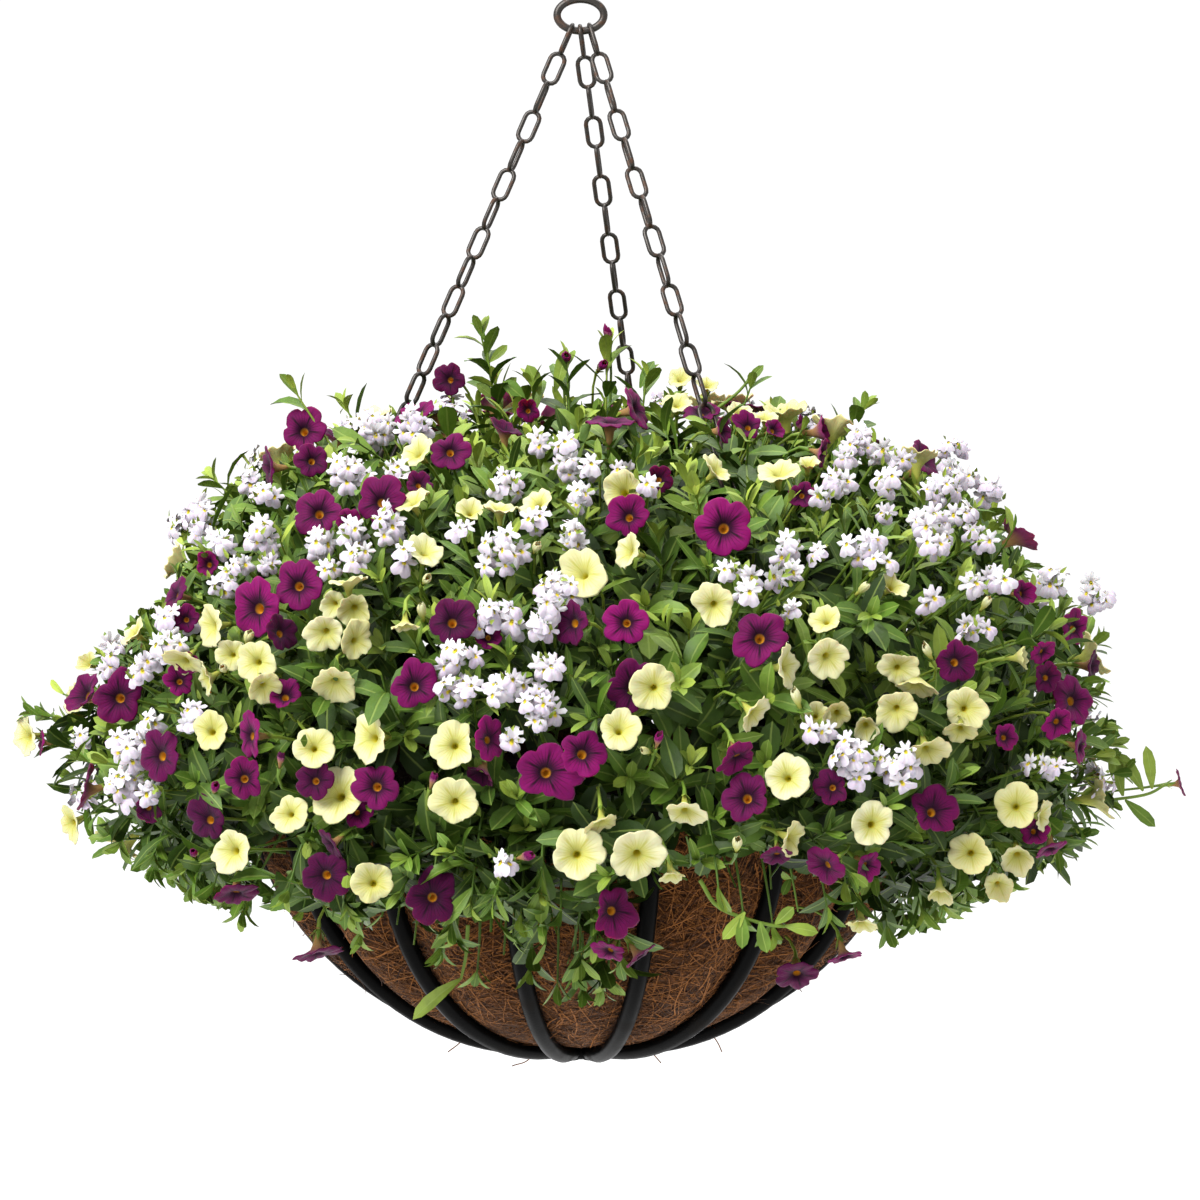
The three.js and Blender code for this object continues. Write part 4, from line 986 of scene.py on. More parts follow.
# ---- The wire bowl, its coir and the soil ----
@dataclass
class BasketFrame:
    """The welded wire bowl: a rim, sixteen ribs and the ring in which they meet."""

    ring_radius: float = 20.0
    rib_steps: int = 26
    rim_steps: int = 128
    ring_steps: int = 40
    rim_sides: int = 14
    sides: int = 10
    bead: Triple = (5.4, 5.4, 5.2)
    bead_rows: int = 7
    bead_columns: int = 10
    bead_pole: float = 0.02

    def circle(self, radius: float, height: float, steps: int) -> Array:
        """A level circle of points."""
        turn = whole_turn(steps)
        return np.stack([radius * np.cos(turn), radius * np.sin(turn), np.full(steps, height)], 1)[None]

    def build(self) -> None:
        """Makes the wires and their weld beads."""
        batch = MeshBatch()
        last = math.acos(self.ring_radius / RIM_RADIUS)
        low = -RIB_DEPTH * math.sin(last)
        rim = self.circle(RIM_RADIUS, 0, self.rim_steps)
        ring = self.circle(self.ring_radius, low, self.ring_steps)
        batch.add(*tubes(rim, RIM_WIRE / 2, self.rim_sides, loop=True))
        batch.add(*tubes(ring, RIB_WIRE / 2, self.sides, loop=True))
        fall = np.linspace(0, last, self.rib_steps)
        azimuth = (np.arange(RIB_COUNT) + 0.5) * 2 * math.pi / RIB_COUNT - math.pi / 2
        outward = np.stack([np.cos(azimuth), np.sin(azimuth), 0 * azimuth], 1)
        reach, depth = RIM_RADIUS * np.cos(fall), RIB_DEPTH * np.sin(fall)
        lines = outward[:, None] * reach[:, None] - UP * depth[:, None]
        batch.add(*tubes(lines, RIB_WIRE / 2, self.sides, level=np.cross(outward, UP)[:, None]))
        for height, reach in ((0.0, RIM_RADIUS), (low, self.ring_radius)):
            batch.add(*self.beads(outward, height, reach))
        batch.piece("wire_bowl", "coated_wire", WIRE.make(), "basket_frame")

    def beads(self, outward: Array, height: float, reach: float) -> tuple[Array, Array]:
        """A small swelling where each rib is welded to a ring.

        Args:
            outward: The direction of each rib, seen from above.
            height: The height of the ring.
            reach: Its radius.

        Returns:
            The points of the swellings and the triangles of one.
        """
        rows, columns = self.bead_rows, self.bead_columns
        polar, turn = np.linspace(self.bead_pole, math.pi - self.bead_pole, rows), whole_turn(columns)
        ball = np.stack([
            np.outer(np.sin(polar), np.cos(turn)), np.outer(np.sin(polar), np.sin(turn)),
            np.outer(np.cos(polar), np.ones(columns)),
        ], -1).reshape(-1, 3) * np.array(self.bead)
        return ball[None] + (outward * reach + UP * height)[:, None], lattice(rows, columns)


@dataclass
class CoirLiner:
    """The moulded coir bowl, swollen between the ribs, and its loose fibres."""

    gap: float = 0.95
    thickness: float = 10.0
    bulge: float = 11.0
    top: float = -9.0
    around: int = 160
    down: int = 46
    strands: int = 17000
    stray: int = 420
    fibre_radius: float = 0.32
    fibre_points: int = 5
    fibre_length: Pair = (10, 38)
    fibre_half_width: Pair = (0.16, 0.32)
    fibre_bend: float = 0.35
    stray_lift: Pair = (2, 7)
    loose_depth: float = -34.0
    inner_steps: int = 6
    inner_fall: float = 0.6
    grain: float = 0.45
    lip_grain: float = 1.1

    @property
    def radius(self) -> float:
        """The outer radius in the rim's plane."""
        return RIM_RADIUS - RIB_WIRE / 2 - self.gap

    @property
    def depth(self) -> float:
        """How deep the outside is under the rim's plane."""
        return RIB_DEPTH - RIB_WIRE / 2 - self.gap

    def outside(self, azimuth: Array, fall: Array) -> Array:
        """Points of the outer face, which swells between the ribs.

        Args:
            azimuth: The azimuth of each point.
            fall: Its angle down the bowl.

        Returns:
            The points.
        """
        between = 0.5 + 0.5 * np.cos((azimuth + math.pi / 2) * RIB_COUNT)
        height = -self.depth * np.sin(fall) + 0 * azimuth
        reach = np.maximum(self.radius * np.cos(fall), 0.0)
        share = np.clip(0.1 - 0.9 * height / self.depth, 0.001, 0.999)
        reach = reach + self.bulge * between * np.sin(math.pi * share) ** 0.7 * np.minimum(reach / 70, 1)
        return np.stack([reach * np.cos(azimuth), reach * np.sin(azimuth), height], -1)

    def build(self) -> None:
        """Makes the shell and its fibres."""
        random = np.random.default_rng(71)
        batch = MeshBatch("tone")
        turn = whole_turn(self.around)
        first = math.asin(-self.top / self.depth)
        falls = np.linspace(first, math.pi / 2 - 0.01, self.down)
        outer = self.outside(turn[None, :], falls[:, None])
        rough = random.normal(0, self.grain, outer.shape[:2] + (1,)) * unit(outer)
        inner_fall = np.linspace(first, self.inner_fall, self.inner_steps)[::-1]
        reach = (self.radius - self.thickness) * np.cos(inner_fall)
        inner = np.stack([
            np.outer(reach, np.cos(turn)), np.outer(reach, np.sin(turn)),
            np.outer(-(self.depth - self.thickness) * np.sin(inner_fall), np.ones_like(turn)),
        ], -1)
        whole = np.concatenate([inner, outer - np.abs(rough)])
        lip = whole[len(inner) - 1:len(inner) + 1]
        lip[..., 2] += np.abs(random.normal(0, self.lip_grain, lip.shape[:2]))
        batch.add(whole[None], lattice(len(whole), self.around),
                  tone=random.uniform(0, 0.25, (1, *whole.shape[:2])))
        self.add_fibres(batch, random)
        batch.piece("coir_liner_fibres", "coir", CoirFinish().make(), "coir_liner")

    def add_fibres(self, batch: MeshBatch, random: Random) -> None:
        """Lays flat curved fibres over the outside, and lets a few stand off it.

        Args:
            batch: Where the fibres go.
            random: The seeded generator.
        """
        for run in LOOSE_FIBRES:
            line = np.array(run, float)
            path = curve_through(MOUND.sheet.at_depth(line[:, 0], line[:, 1], self.loose_depth), 6)
            batch.add(*tubes(path[None], self.fibre_radius, 4), tone=0.8)
        count = self.strands + self.stray
        azimuth = random.uniform(0, 2 * math.pi, count)
        fall = np.arcsin(random.uniform(0.07, 0.985, count))
        start = self.outside(azimuth, fall)
        out = unit(start / np.array([1.0, 1.0, 0.85]))
        right, up = square_up(out)
        heading = random.uniform(0, 2 * math.pi, count)[:, None]
        way = right * np.cos(heading) + up * np.sin(heading)
        side = np.cross(out, way)
        length = random.uniform(*self.fibre_length, count)[:, None, None]
        bend = random.normal(0, self.fibre_bend, count)[:, None, None]
        share = np.linspace(-0.5, 0.5, self.fibre_points)[None, :, None]
        line = start[:, None] + way[:, None] * share * length + side[:, None] * bend * length * share ** 2
        line = self.pressed(line)
        loose = np.zeros(count)
        loose[self.strands:] = random.uniform(*self.stray_lift, self.stray)
        lift = 0.3 + random.uniform(0, 1.5, count)
        line += out[:, None] * (lift[:, None, None] + loose[:, None, None] * (share + 0.5) ** 2)
        ahead = unit(np.gradient(line, axis=1))
        half = random.uniform(*self.fibre_half_width, count)[:, None, None]
        edge = np.cross(ahead, out[:, None]) * half
        ribbon = np.stack([line - edge, line + edge], 2).reshape(count, -1, 3)
        batch.add(ribbon, lattice(self.fibre_points, 2, ring=False),
                  tone=random.uniform(0, 1, (count, 1)) ** 1.3)

    def pressed(self, line: Array) -> Array:
        """Draws points that leave the bowl back on to its outer face.

        Args:
            line: Points near the outer face.

        Returns:
            Points on the outer face.
        """
        reach = np.hypot(line[..., 0], line[..., 1])
        fall = np.arctan2(-line[..., 2] / self.depth, np.maximum(reach, 0.1) / self.radius)
        return self.outside(np.arctan2(line[..., 1], line[..., 0]), np.clip(fall, 0.06, 1.56))


@dataclass
class PottingSoil:
    """The crumbly soil inside the liner."""

    level: float = -22.0
    radius: float = 155.0
    skirt: float = 14.0
    taper: float = 0.97
    bumps: float = 1.3
    rings: int = 25
    around: int = 72

    def build(self) -> None:
        """Makes the bumpy top of the soil and its low skirt."""
        random = np.random.default_rng(5)
        batch = MeshBatch()
        turn = whole_turn(self.around)
        reach = np.append(np.linspace(0.5, 1, self.rings - 1), 1.0) * self.radius
        height = self.level + random.normal(0, self.bumps, (self.rings, self.around))
        height[-1] = self.level - self.skirt
        points = np.stack([np.outer(reach, np.cos(turn)), np.outer(reach, np.sin(turn)), height], -1)
        points[-1, :, :2] *= self.taper
        points[0, :, :2] *= 0.01
        batch.add(points[None], lattice(self.rings, self.around))
        batch.piece("soil_crumbs", "soil", SoilFinish().make(), "potting_soil")


# ---- The hook, the chains and the clips ----
class Side(Enum):
    """The three chains, with the azimuth of each and its seat along the hook's eye."""

    LEFT = (194.4, -5.0)
    BACK = (71.8, 0.0)
    RIGHT = (-48.2, 5.0)


@dataclass
class Suspension:
    """The open hook, its eye, three welded chains and the clips on the rim."""

    apex: float = 373.0
    hook_wire: float = 4.0
    crook_radius: float = 13.0
    eye_half_width: float = 12.0
    eye_half_height: float = 8.0
    link_pitch: float = 16.4
    link_wire: float = 2.4
    link_half_width: float = 3.8
    clip_wire: float = 2.5
    ring_radius: float = 5.0
    ring_reach: float = 18.0
    fit: float = 0.3
    spare: float = 0.1
    wire_sides: int = 12
    link_sides: int = 8
    crook_arc: Pair = (205, -30)
    crook_steps: int = 30
    grip: tuple[float, ...] = (50, 5, -40, -85, -130, -165)
    steel: Material = field(init=False)

    def line(self, side: Side) -> tuple[Array, Array, Array, Array, Array]:
        """The straight line on which a chain hangs.

        Args:
            side: Which chain.

        Returns:
            Its top and foot, and its directions down, tangent and outward.
        """
        degrees, seat = side.value
        azimuth = math.radians(degrees)
        middle = self.apex + self.eye_half_height
        lift = self.eye_half_height * math.sqrt(1 - (seat / self.eye_half_width) ** 2)
        top = np.array([seat, 0.0, middle - lift])
        rim = np.array([RIM_RADIUS * math.cos(azimuth), RIM_RADIUS * math.sin(azimuth), 0.0])
        down = unit(rim - top)
        tangent = np.array([-math.sin(azimuth), math.cos(azimuth), 0.0])
        tangent = unit(tangent - down * (tangent @ down))
        return top, rim, down, tangent, unit(np.cross(tangent, down))

    def build(self) -> None:
        """Makes the hook, the chains and the clips."""
        self.steel = STEEL.make()
        self.build_hook()
        for side in Side:
            self.build_chain(side)
            self.build_clip(side)

    def build_hook(self) -> None:
        """Bends the crook and the closed eye under it."""
        batch = MeshBatch()
        turn = whole_turn(40)
        middle = self.apex + self.eye_half_height
        eye = np.stack([self.eye_half_width * np.cos(turn), 0 * turn,
                        middle + self.eye_half_height * np.sin(turn)], 1)[None]
        batch.add(*tubes(eye, self.hook_wire / 2, self.wire_sides, level=BACK, loop=True))
        crook_middle = RIM_DROP - self.crook_radius
        radius = self.crook_radius + self.hook_wire / 2
        turn = np.radians(np.linspace(*self.crook_arc, self.crook_steps))
        arc = np.stack([radius * np.cos(turn), 0 * turn, crook_middle + radius * np.sin(turn)], 1)
        neck = middle + self.eye_half_height
        shank = (neck + crook_middle - radius) / 2
        bend = np.array([[5, 0, shank + 3], [0, 0, neck + 3], [0, 0, neck - 0.6]])
        line = np.concatenate([arc[:-1], curve_through(np.concatenate([arc[-1:], bend]), 5)])[None]
        wide = np.full(line.shape[1], self.hook_wire / 2)
        wide[0], wide[1] = 0.3, self.hook_wire * 0.42
        batch.add(*tubes(line, wide, self.wire_sides, level=BACK))
        batch.piece("hook_wire", "chain_steel", self.steel, "hanging_hook")

    def build_chain(self, side: Side) -> None:
        """Hangs the links of a chain, each a quarter turn from the last.

        Args:
            side: Which chain.
        """
        top, rim, down, tangent, outward = self.line(side)
        top_seat = self.hook_wire / 2 + self.link_wire / 2 + self.fit + self.spare
        clip_seat = self.ring_reach + self.ring_radius
        clip_seat -= self.clip_wire / 2 + self.link_wire / 2 + self.fit
        span = float(np.linalg.norm(rim - top)) + top_seat - clip_seat
        steps = round(span / self.link_pitch) - 1
        half = (span + steps * self.link_wire) / (2 * (steps + 1))
        pitch = 2 * half - self.link_wire
        eye_wire = unit(ACROSS - down * down[0])
        across = np.cross(down, eye_wire)
        first = math.atan2(across @ outward, across @ tangent)
        turn_step = (round((first + steps * math.pi / 2) / math.pi) * math.pi - first) / steps
        batch = MeshBatch()
        for index in range(steps + 1):
            turn = first + index * turn_step
            wide = tangent * math.cos(turn) + outward * math.sin(turn)
            middle = top + down * (half - top_seat + index * pitch)
            outline = self.link_outline(half - self.link_wire / 2)
            line = middle + np.outer(outline[:, 0], wide) + np.outer(outline[:, 1], down)
            level = np.cross(wide, down)
            batch.add(*tubes(line[None], self.link_wire / 2, self.link_sides, level=level, loop=True))
        label = side.name.lower()
        batch.piece(f"chain_links_{label}", "chain_steel", self.steel, f"chain_{label}")

    def link_outline(self, reach: float) -> Array:
        """The middle line of a link: two straight sides and two round ends.

        Args:
            reach: How far the line goes up and down from the link's middle.

        Returns:
            Its points, as across and down.
        """
        radius = self.link_half_width
        turn = np.radians(np.linspace(0, 180, 8))
        end = np.stack([radius * np.cos(turn), reach - radius + radius * np.sin(turn)], 1)
        return np.concatenate([end, -end])

    def build_clip(self, side: Side) -> None:
        """Wraps a clip round the rim and closes its ring in the last link.

        Args:
            side: Which chain's clip.
        """
        _, rim, down, tangent, outward = self.line(side)
        spread = RIM_WIRE / 2 + self.fit + self.spare + self.clip_wire / 2
        sense = 1.0 if outward[0] * rim[0] + outward[1] * rim[1] > 0 else -1.0
        foot = self.ring_reach - self.ring_radius
        grip = [(sense * spread * math.cos(a), spread * math.sin(a)) for a in np.radians(self.grip)]
        grip += [(-sense * spread, 3.0), (-sense * spread * 0.55, foot - 3), (0.0, foot + 0.3)]
        line = np.array([rim + outward * out - down * up for out, up in grip])
        batch = MeshBatch()
        batch.add(*tubes(curve_through(line, 5)[None], self.clip_wire / 2, self.link_sides, level=tangent))
        turn = whole_turn(24)
        ring = rim + np.outer(self.ring_radius * np.cos(turn), outward)
        ring -= np.outer(self.ring_reach + self.ring_radius * np.sin(turn), down)
        batch.add(*tubes(ring[None], self.clip_wire / 2, self.link_sides, level=tangent, loop=True))
        label = side.name.lower()
        batch.piece(f"clip_wire_{label}", "chain_steel", self.steel, f"rim_clip_{label}")


# ---- Greenery: leaves, sepals, stems and buds ----
@dataclass(frozen=True)
class LeafShape:
    """The outline of a leaf: where along it and how wide it is at each station."""

    stations: tuple[float, ...] = (0.0, 0.14, 0.38, 0.64, 0.86)
    widths: tuple[float, ...] = (0.16, 0.44, 0.84, 1.0, 0.74)

    def sheets(self, foot: Array, way: Array, face: Array, length: Array, width: Array,
               arch: Array, fold: Array) -> tuple[Array, Array]:
        """Arched leaves, folded a little along the midrib.

        Args:
            foot: Where each leaf starts.
            way: Its direction.
            face: The direction of its upper side.
            length: Its length.
            width: Its width.
            arch: How far its tip bends down, as a share of the length.
            fold: How steeply its halves stand up from the midrib.

        Returns:
            The points of the leaves and the triangles of one.
        """
        face = unit(face - way * (face * way).sum(-1, keepdims=True))
        side = np.cross(way, face)
        along = np.array(self.stations)[None, :, None]
        drop = (0.7 * along - along ** 2 * 1.5) * (arch * length)[:, None, None]
        middle = foot[:, None] + way[:, None] * along * length[:, None, None] + face[:, None] * drop
        half = np.array(self.widths)[None, :, None] * width[:, None, None] / 2
        rise = face[:, None] * half * fold[:, None, None]
        left, right = middle - side[:, None] * half + rise, middle + side[:, None] * half + rise
        tip = foot + way * length[:, None] - face * (0.8 * arch * length)[:, None]
        rows = np.stack([left, middle, right], 2).reshape(len(foot), -1, 3)
        points = np.concatenate([rows, tip[:, None]], 1)
        body = lattice(len(self.stations), 3, ring=False)
        last = 3 * (len(self.stations) - 1)
        end = last + 3
        return points, np.concatenate([body, [[last, last + 1, end], [last + 1, last + 2, end]]])

    def edge(self) -> Array:
        """How far from the midrib each point of a leaf is."""
        return np.append(np.tile([1.0, 0.0, 1.0], len(self.stations)), 0.0)


BROAD = LeafShape()
NARROW = LeafShape((0.0, 0.3, 0.7), (0.2, 1.0, 0.6))


class Greenery:
    """The leaf-green parts that the flowers carry: sepals, stems and buds."""

    SEED = 19
    SEPALS = 5
    # How far behind the tube's foot, towards the middle and down each point of a stalk is.
    STALK = ((4, 0, 0), (9, 4, 1), (10, 16, 3), (8, 30, 6))
    STALK_RADII = (1.3, 0.8, 0.7, 0.7, 0.7)

    def __init__(self) -> None:
        """Starts with nothing grown."""
        self.batch = MeshBatch("tone", "edge")
        self.random = np.random.default_rng(self.SEED)

    def add_leaves(self, shape: LeafShape, tone: Array, *sizes: Array) -> None:
        """Adds leaves of a shape with a tone each."""
        self.batch.add(*shape.sheets(*sizes), tone=tone[:, None], edge=shape.edge()[None])

    def add_stems(self, paths: Array, radii: Array, tone: Array, sides: int = 5) -> None:
        """Adds round stems with a tone each."""
        points, triangles = tubes(paths, radii, sides)
        self.batch.add(points, triangles, tone=tone[:, None], edge=0.5)

    def add_calyces(self, seats: Array, faces: Array, radii: Array) -> None:
        """Sets five sepals and a bent stalk behind each bloom.

        Args:
            seats: The middle of each bloom's face.
            faces: The direction of each face.
            radii: The radius of each bloom.
        """
        count = len(seats)
        right, up = square_up(faces)
        base = seats - faces * (radii * 1.12)[:, None]
        for index in range(self.SEPALS):
            turn = 2 * math.pi * (index + self.random.uniform(-0.1, 0.1, count)[:, None]) / self.SEPALS
            radial = right * np.cos(turn) + up * np.sin(turn)
            way = unit(faces * 0.8 + radial * self.random.uniform(0.35, 0.8, (count, 1)))
            self.add_leaves(
                NARROW, self.random.uniform(0.5, 0.9, count), base + radial * 0.8, way, -radial + faces * 0.5,
                radii * 0.62, radii * 0.2, np.full(count, -0.12), np.full(count, 0.3),
            )
        inward = unit(MOUND.centre - base)
        run = [base - faces * back + inward * inside - UP * down for back, inside, down in self.STALK]
        paths = np.stack([base + faces * radii[:, None] * 0.15, *run], 1)
        self.add_stems(paths, np.array(self.STALK_RADII), self.random.uniform(0.5, 0.85, count))

    def build(self) -> None:
        """Makes the piece."""
        self.batch.piece("stems_and_sepals", "leaf", LeafFinish("stem_green").make())


# ---- The calibrachoa blooms ----
@dataclass
class BloomBed:
    """All blooms of one calibrachoa: five lobes round a throat, with a tube behind."""

    colour: str
    finish: PetalFinish
    plan: tuple[tuple[float, ...], ...]
    small: tuple[tuple[float, ...], ...]
    fill: tuple[int, float]
    extra: tuple[int, float]
    seed: int
    notch: float
    cup: float
    ruffle: float
    buds: tuple[Pair, ...]
    crease: float = 0.05
    lobes: int = 5
    around: int = 40
    fill_radius: float = 13.0
    tuck: float = 8.0
    sway: float = 0.8
    small_gain: float = 1.4
    small_radii: Pair = (7, 12.5)
    # The least and greatest diameter, yaw and pitch of a bud.
    bud_low: Triple = (20, -50, 5)
    bud_high: Triple = (26, 50, 60)
    # What the leaves keep clear of a small bloom and of a bud, as a share of its radius.
    small_clearing: float = 0.5
    bud_clearing: float = 0.3
    # How a lobe narrows to its notch, how a bud closes and how far the lip and the rim stray.
    notch_power: float = 3.6
    furl_in: float = 0.78
    furl_up: float = 0.75
    lip: float = 0.11
    tilt: float = 0.15
    clearing: Array = field(init=False)
    furl: Array = field(init=False)
    seats: Array = field(init=False)
    faces: Array = field(init=False)
    radii: Array = field(init=False)

    # Rings of (share of the radius, height), from the throat over the rim to the tube's foot.
    FRONT = ((0.01, -0.62), (0.09, -0.5), (0.17, -0.22), (0.3, -0.07), (0.5, -0.01), (0.75, 0.02),
             (0.94, 0.0), (1.0, -0.03))
    REAR = ((0.94, -0.05), (0.6, -0.08), (0.32, -0.2), (0.2, -0.42), (0.13, -0.8), (0.09, -1.15),
            (0.01, -1.18))

    def lay_out(self, taken: Array) -> Array:
        """Seats the blooms.

        Args:
            taken: Places already taken, one in a row.

        Returns:
            The seats of the planned blooms and of those that fill the back.
        """
        sheet, eye = MOUND.sheet, np.array(MOUND.sheet.eye)
        random = np.random.default_rng(self.seed + 200)
        many, tucked, furled = len(self.plan), len(self.small), len(self.buds)
        turned = random.uniform(self.bud_low, self.bud_high, (furled, 3))
        buds = np.concatenate([np.array(self.buds, float), turned], 1)
        rows = np.concatenate([np.array(self.plan + self.small, float), buds])
        seats = MOUND.seats(rows[:, 0], rows[:, 1])
        radii = rows[:, 2] * np.linalg.norm(seats - eye, axis=1) / sheet.distance / 2
        planned, hidden = seats[:many].copy(), slice(many, many + tucked)
        radii[hidden] = np.clip(radii[hidden] * self.small_gain, *self.small_radii)
        seats[hidden] += unit(seats[hidden] - eye) * self.tuck
        draw = Draw(self.seed + 1)
        first = MOUND.fill(*self.fill, self.seed, np.concatenate([taken, planned]))
        more = MOUND.fill(*self.extra, self.seed + 100, np.concatenate([taken, seats, first]), SIDE_WRAP)
        more = more[within_outline(more, FILL_MARGIN) & (more[:, 2] > FILL_FLOOR)]
        back = np.concatenate([first, more])
        sway = np.array([[draw() - 0.5, draw() - 0.5, draw() - 0.3] for _ in back]) * self.sway
        self.seats = np.concatenate([seats, back])
        self.faces = np.concatenate([sheet.facing(rows[:, 3], rows[:, 4]), unit(MOUND.normals(back) + sway)])
        self.radii = np.concatenate([radii, np.full(len(back), self.fill_radius)])
        shares = np.repeat([1, self.small_clearing, self.bud_clearing, 1], [many, tucked, furled, len(back)])
        self.clearing = self.radii * shares
        self.furl = np.concatenate([np.zeros(many), random.uniform(0, 0.3, tucked), np.ones(furled),
                                    random.uniform(0, 0.25, len(back))])
        return np.concatenate([planned, first])

    def build(self, greenery: Greenery) -> None:
        """Makes the blooms.

        Args:
            greenery: Where their sepals and stalks go.
        """
        random = np.random.default_rng(self.seed)
        count = len(self.seats)
        right, up = square_up(self.faces)
        roll = random.uniform(0, 2 * math.pi / self.lobes, count)[:, None, None]
        turn = whole_turn(self.around)[None, None]
        phase = (np.arange(self.around) * self.lobes / self.around) % 1
        lobe = np.abs(2 * ((phase + 0.5) % 1) - 1)[None, None]
        rings = np.array(self.FRONT + self.REAR)
        share, height = rings[None, :, :1], rings[None, :, 1:]
        closed = self.furl[:, None, None]
        flare = np.clip((share - 0.3) / 0.7, 0, 1)
        bays = random.normal(1, 0.1, (count, 1, self.lobes)).repeat(self.around // self.lobes, 2)
        bays = np.roll(bays, self.around // self.lobes // 2, 2)
        bays = (bays + np.roll(bays, 1, 2) + np.roll(bays, -1, 2)) / 3
        notched = 1 - flare * self.notch * (1 - lobe) ** self.notch_power
        reach = share * notched * (1 + flare * (bays - 1)) * (1 - closed * flare * self.furl_in)
        wave = np.sin(self.lobes * turn * 2 + random.uniform(0, ANY_PHASE, (count, 1, 1)))
        swell = np.sin(3 * turn + random.uniform(0, ANY_PHASE, (count, 1, 1)))
        lift = height + self.cup * flare ** 1.3 - self.crease * (1 - lobe) * flare
        lift = lift + self.ruffle * flare ** 2 * (wave + swell) + closed * flare * self.furl_up
        tilt = random.normal(0, self.tilt, (count, 1, 2))
        lift = lift + flare * (tilt[..., :1] * np.cos(turn) + tilt[..., 1:] * np.sin(turn))
        size = self.radii[:, None, None, None]
        across, upwards = reach * np.cos(turn + roll), reach * np.sin(turn + roll)
        upwards = upwards - self.lip * np.clip(1 - share / 0.3, 0, 1) * (height > -0.55)
        points = self.seats[:, None, None] + size * (
            across[..., None] * right[:, None, None] + upwards[..., None] * up[:, None, None]
            + lift[..., None] * self.faces[:, None, None]
        )
        self.add(points, lobe, random.uniform(0, 1, (count, 1, 1)))
        greenery.add_calyces(self.seats, self.faces, self.radii)

    def add(self, points: Array, lobe: Array, tone: Array) -> None:
        """Makes the piece.

        Args:
            points: Its points, as blooms by rings by points by 3.
            lobe: How near each point of a ring is to the middle of its lobe.
            tone: The tone of each bloom.
        """
        rings = points.shape[1]
        rear = np.arange(rings)[None, :, None] >= len(self.FRONT)
        share = np.array(self.FRONT + self.REAR)[None, :, :1]
        tube = np.where(rear, np.clip(1.35 - 2.2 * share, 0, 1), 0)
        traits = {"span": share, "lobe": 1 - lobe, "back": rear * 1.0, "tube": tube, "tone": tone}
        batch = MeshBatch(*traits)
        batch.add(points, lattice(rings, self.around)[:, ::-1], **traits)
        nodes = named(f"{self.colour}_bunch")
        batch.piece(f"{self.colour}_blooms", f"{self.colour}_petal", self.finish.make(), *nodes)


